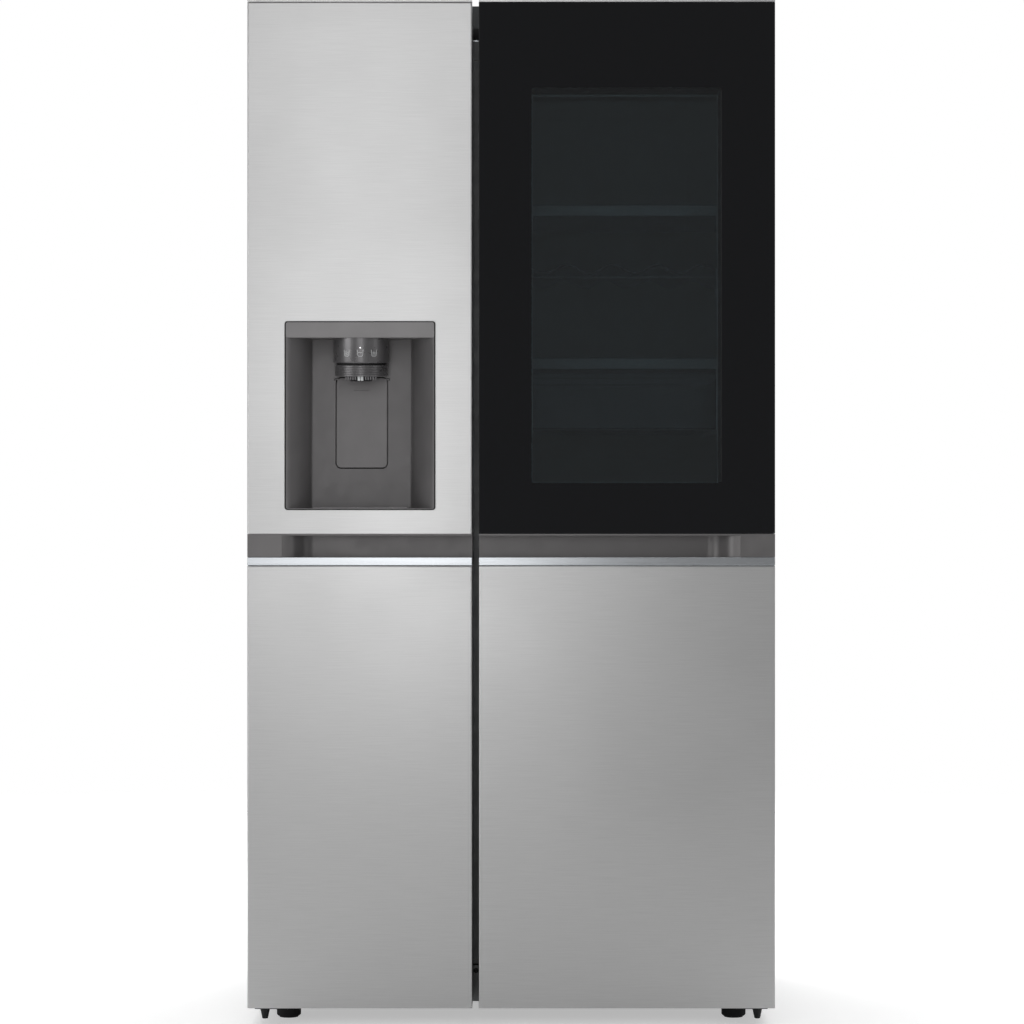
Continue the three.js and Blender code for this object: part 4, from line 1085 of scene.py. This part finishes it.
def dress_nodes():
    """Every CAD node gets its slot's material and slightly round edges."""
    slot_of = {row["node"]: row["material_slot"] for row in frame["record"]["subparts"]}
    for node, made in frame["nodes"].items():
        made.data.materials.clear()
        made.data.materials.append(MATERIALS[slot_of[node]])
        soften(node, OTHER_SOFT_EDGES.get(node, SOFT_EDGE))


def set_stage():
    """A wide pale floor."""
    size = 30.0
    bm = bmesh.new()
    bm.faces.new([bm.verts.new((x, y, 0.0)) for x, y in rectangle((-size, size), (-size, size))])
    mesh = bpy.data.meshes.new("floor")
    bm.to_mesh(mesh)
    bm.free()
    mesh.materials.append(paper())
    floor = bpy.data.objects.new("floor", mesh)
    bpy.context.scene.collection.objects.link(floor)


def set_camera():
    """Level, on the middle line, well in front of the doors."""
    low = cad_box[0]
    distance = 5.5
    eye_height = 0.8965
    off_middle = 0.0014
    camera = bpy.data.cameras.new("camera")
    camera.lens = 111.8
    camera.sensor_width = 36.0
    camera.clip_end = 60.0
    made = bpy.data.objects.new("camera", camera)
    made.location = (off_middle, low.y - distance, eye_height)
    made.rotation_euler = (math.pi / 2, 0, 0)
    bpy.context.scene.collection.objects.link(made)
    bpy.context.scene.camera = made


def softbox(name, place, target, width, height, power):
    """A rectangular lamp at a place, turned to its target and unseen by the camera."""
    light = bpy.data.lights.new(name, "AREA")
    light.shape = "RECTANGLE"
    light.size = width
    light.size_y = height
    light.energy = power
    made = bpy.data.objects.new(name, light)
    made.location = place
    direction = Vector(target) - Vector(place)
    made.rotation_euler = direction.to_track_quat("-Z", "Y").to_euler()
    made.visible_camera = False
    bpy.context.scene.collection.objects.link(made)
    return made


def set_world():
    """Soft light from all around, and a white backdrop behind everything."""
    world = bpy.data.worlds.new("studio")
    world.use_nodes = True
    tree = world.node_tree
    around = tree.nodes["Background"]
    around.inputs["Strength"].default_value = 0.21
    backdrop = tree.nodes.new("ShaderNodeBackground")
    backdrop.inputs["Strength"].default_value = 1.0
    for shader in (around, backdrop):
        shader.inputs["Color"].default_value = (1, 1, 1, 1)
    seen = tree.nodes.new("ShaderNodeLightPath")
    mix = tree.nodes.new("ShaderNodeMixShader")
    tree.links.new(seen.outputs["Is Camera Ray"], mix.inputs["Fac"])
    tree.links.new(around.outputs["Background"], mix.inputs[1])
    tree.links.new(backdrop.outputs["Background"], mix.inputs[2])
    tree.links.new(mix.outputs["Shader"], tree.nodes["World Output"].inputs["Surface"])
    bpy.context.scene.world = world


def keep_off(lights, pieces):
    """The lights don't reach these pieces, as behind a flag on a stand."""
    shaded = bpy.data.collections.new("kept_off")
    for made in pieces:
        shaded.objects.link(made)
    for member in shaded.collection_objects:
        member.light_linking.link_state = "EXCLUDE"
    for light in lights:
        light.light_linking.receiver_collection = shaded


def set_lights(glass):
    """Tall soft boxes at the front left, one at either side, one above and one behind.

    The front boxes keep off the black glass, and the side boxes keep out of the dispenser's niche.
    """
    bpy.context.scene.view_settings.view_transform = "Standard"
    key = softbox("key", (-0.34, -2.5, 1.65), (-0.34, 0.0, 1.65), width=0.83, height=2.4, power=7.0)
    strip = softbox("strip", (-0.20, -2.45, 0.85), (-0.20, 0.0, 0.85), width=0.42, height=1.0, power=0.5)
    keep_off((key, strip), glass)
    side_left = softbox("side_left", (-3.5, -2.5, 1.6), (-0.4, -0.3, 1.0), width=2.0, height=2.6, power=34)
    side_right = softbox("side_right", (3.6, -2.2, 1.8), (0.3, 0, 0.9), width=1.6, height=2.4, power=8)
    keep_off((side_left, side_right), [frame["nodes"]["dispenser_housing"]])
    softbox("top", (0, 0.4, 4.2), (0, 0.2, 0), width=2.5, height=2.5, power=30)
    softbox("back", (0.0, 3.2, 3.6), (0, 2.2, 0.0), width=6.0, height=4.0, power=260)


set_camera()
dress_nodes()
freezer_upper_skin()
for door_body, door in DOORS.items():
    lower_skin(door_body, door["lower"])
    door_edges(door_body, door["upper"], door["lower"])
glass = door_glass()
dispenser_details()
cabinet_details()
inside_details()
set_stage()
set_world()
set_lights(glass)
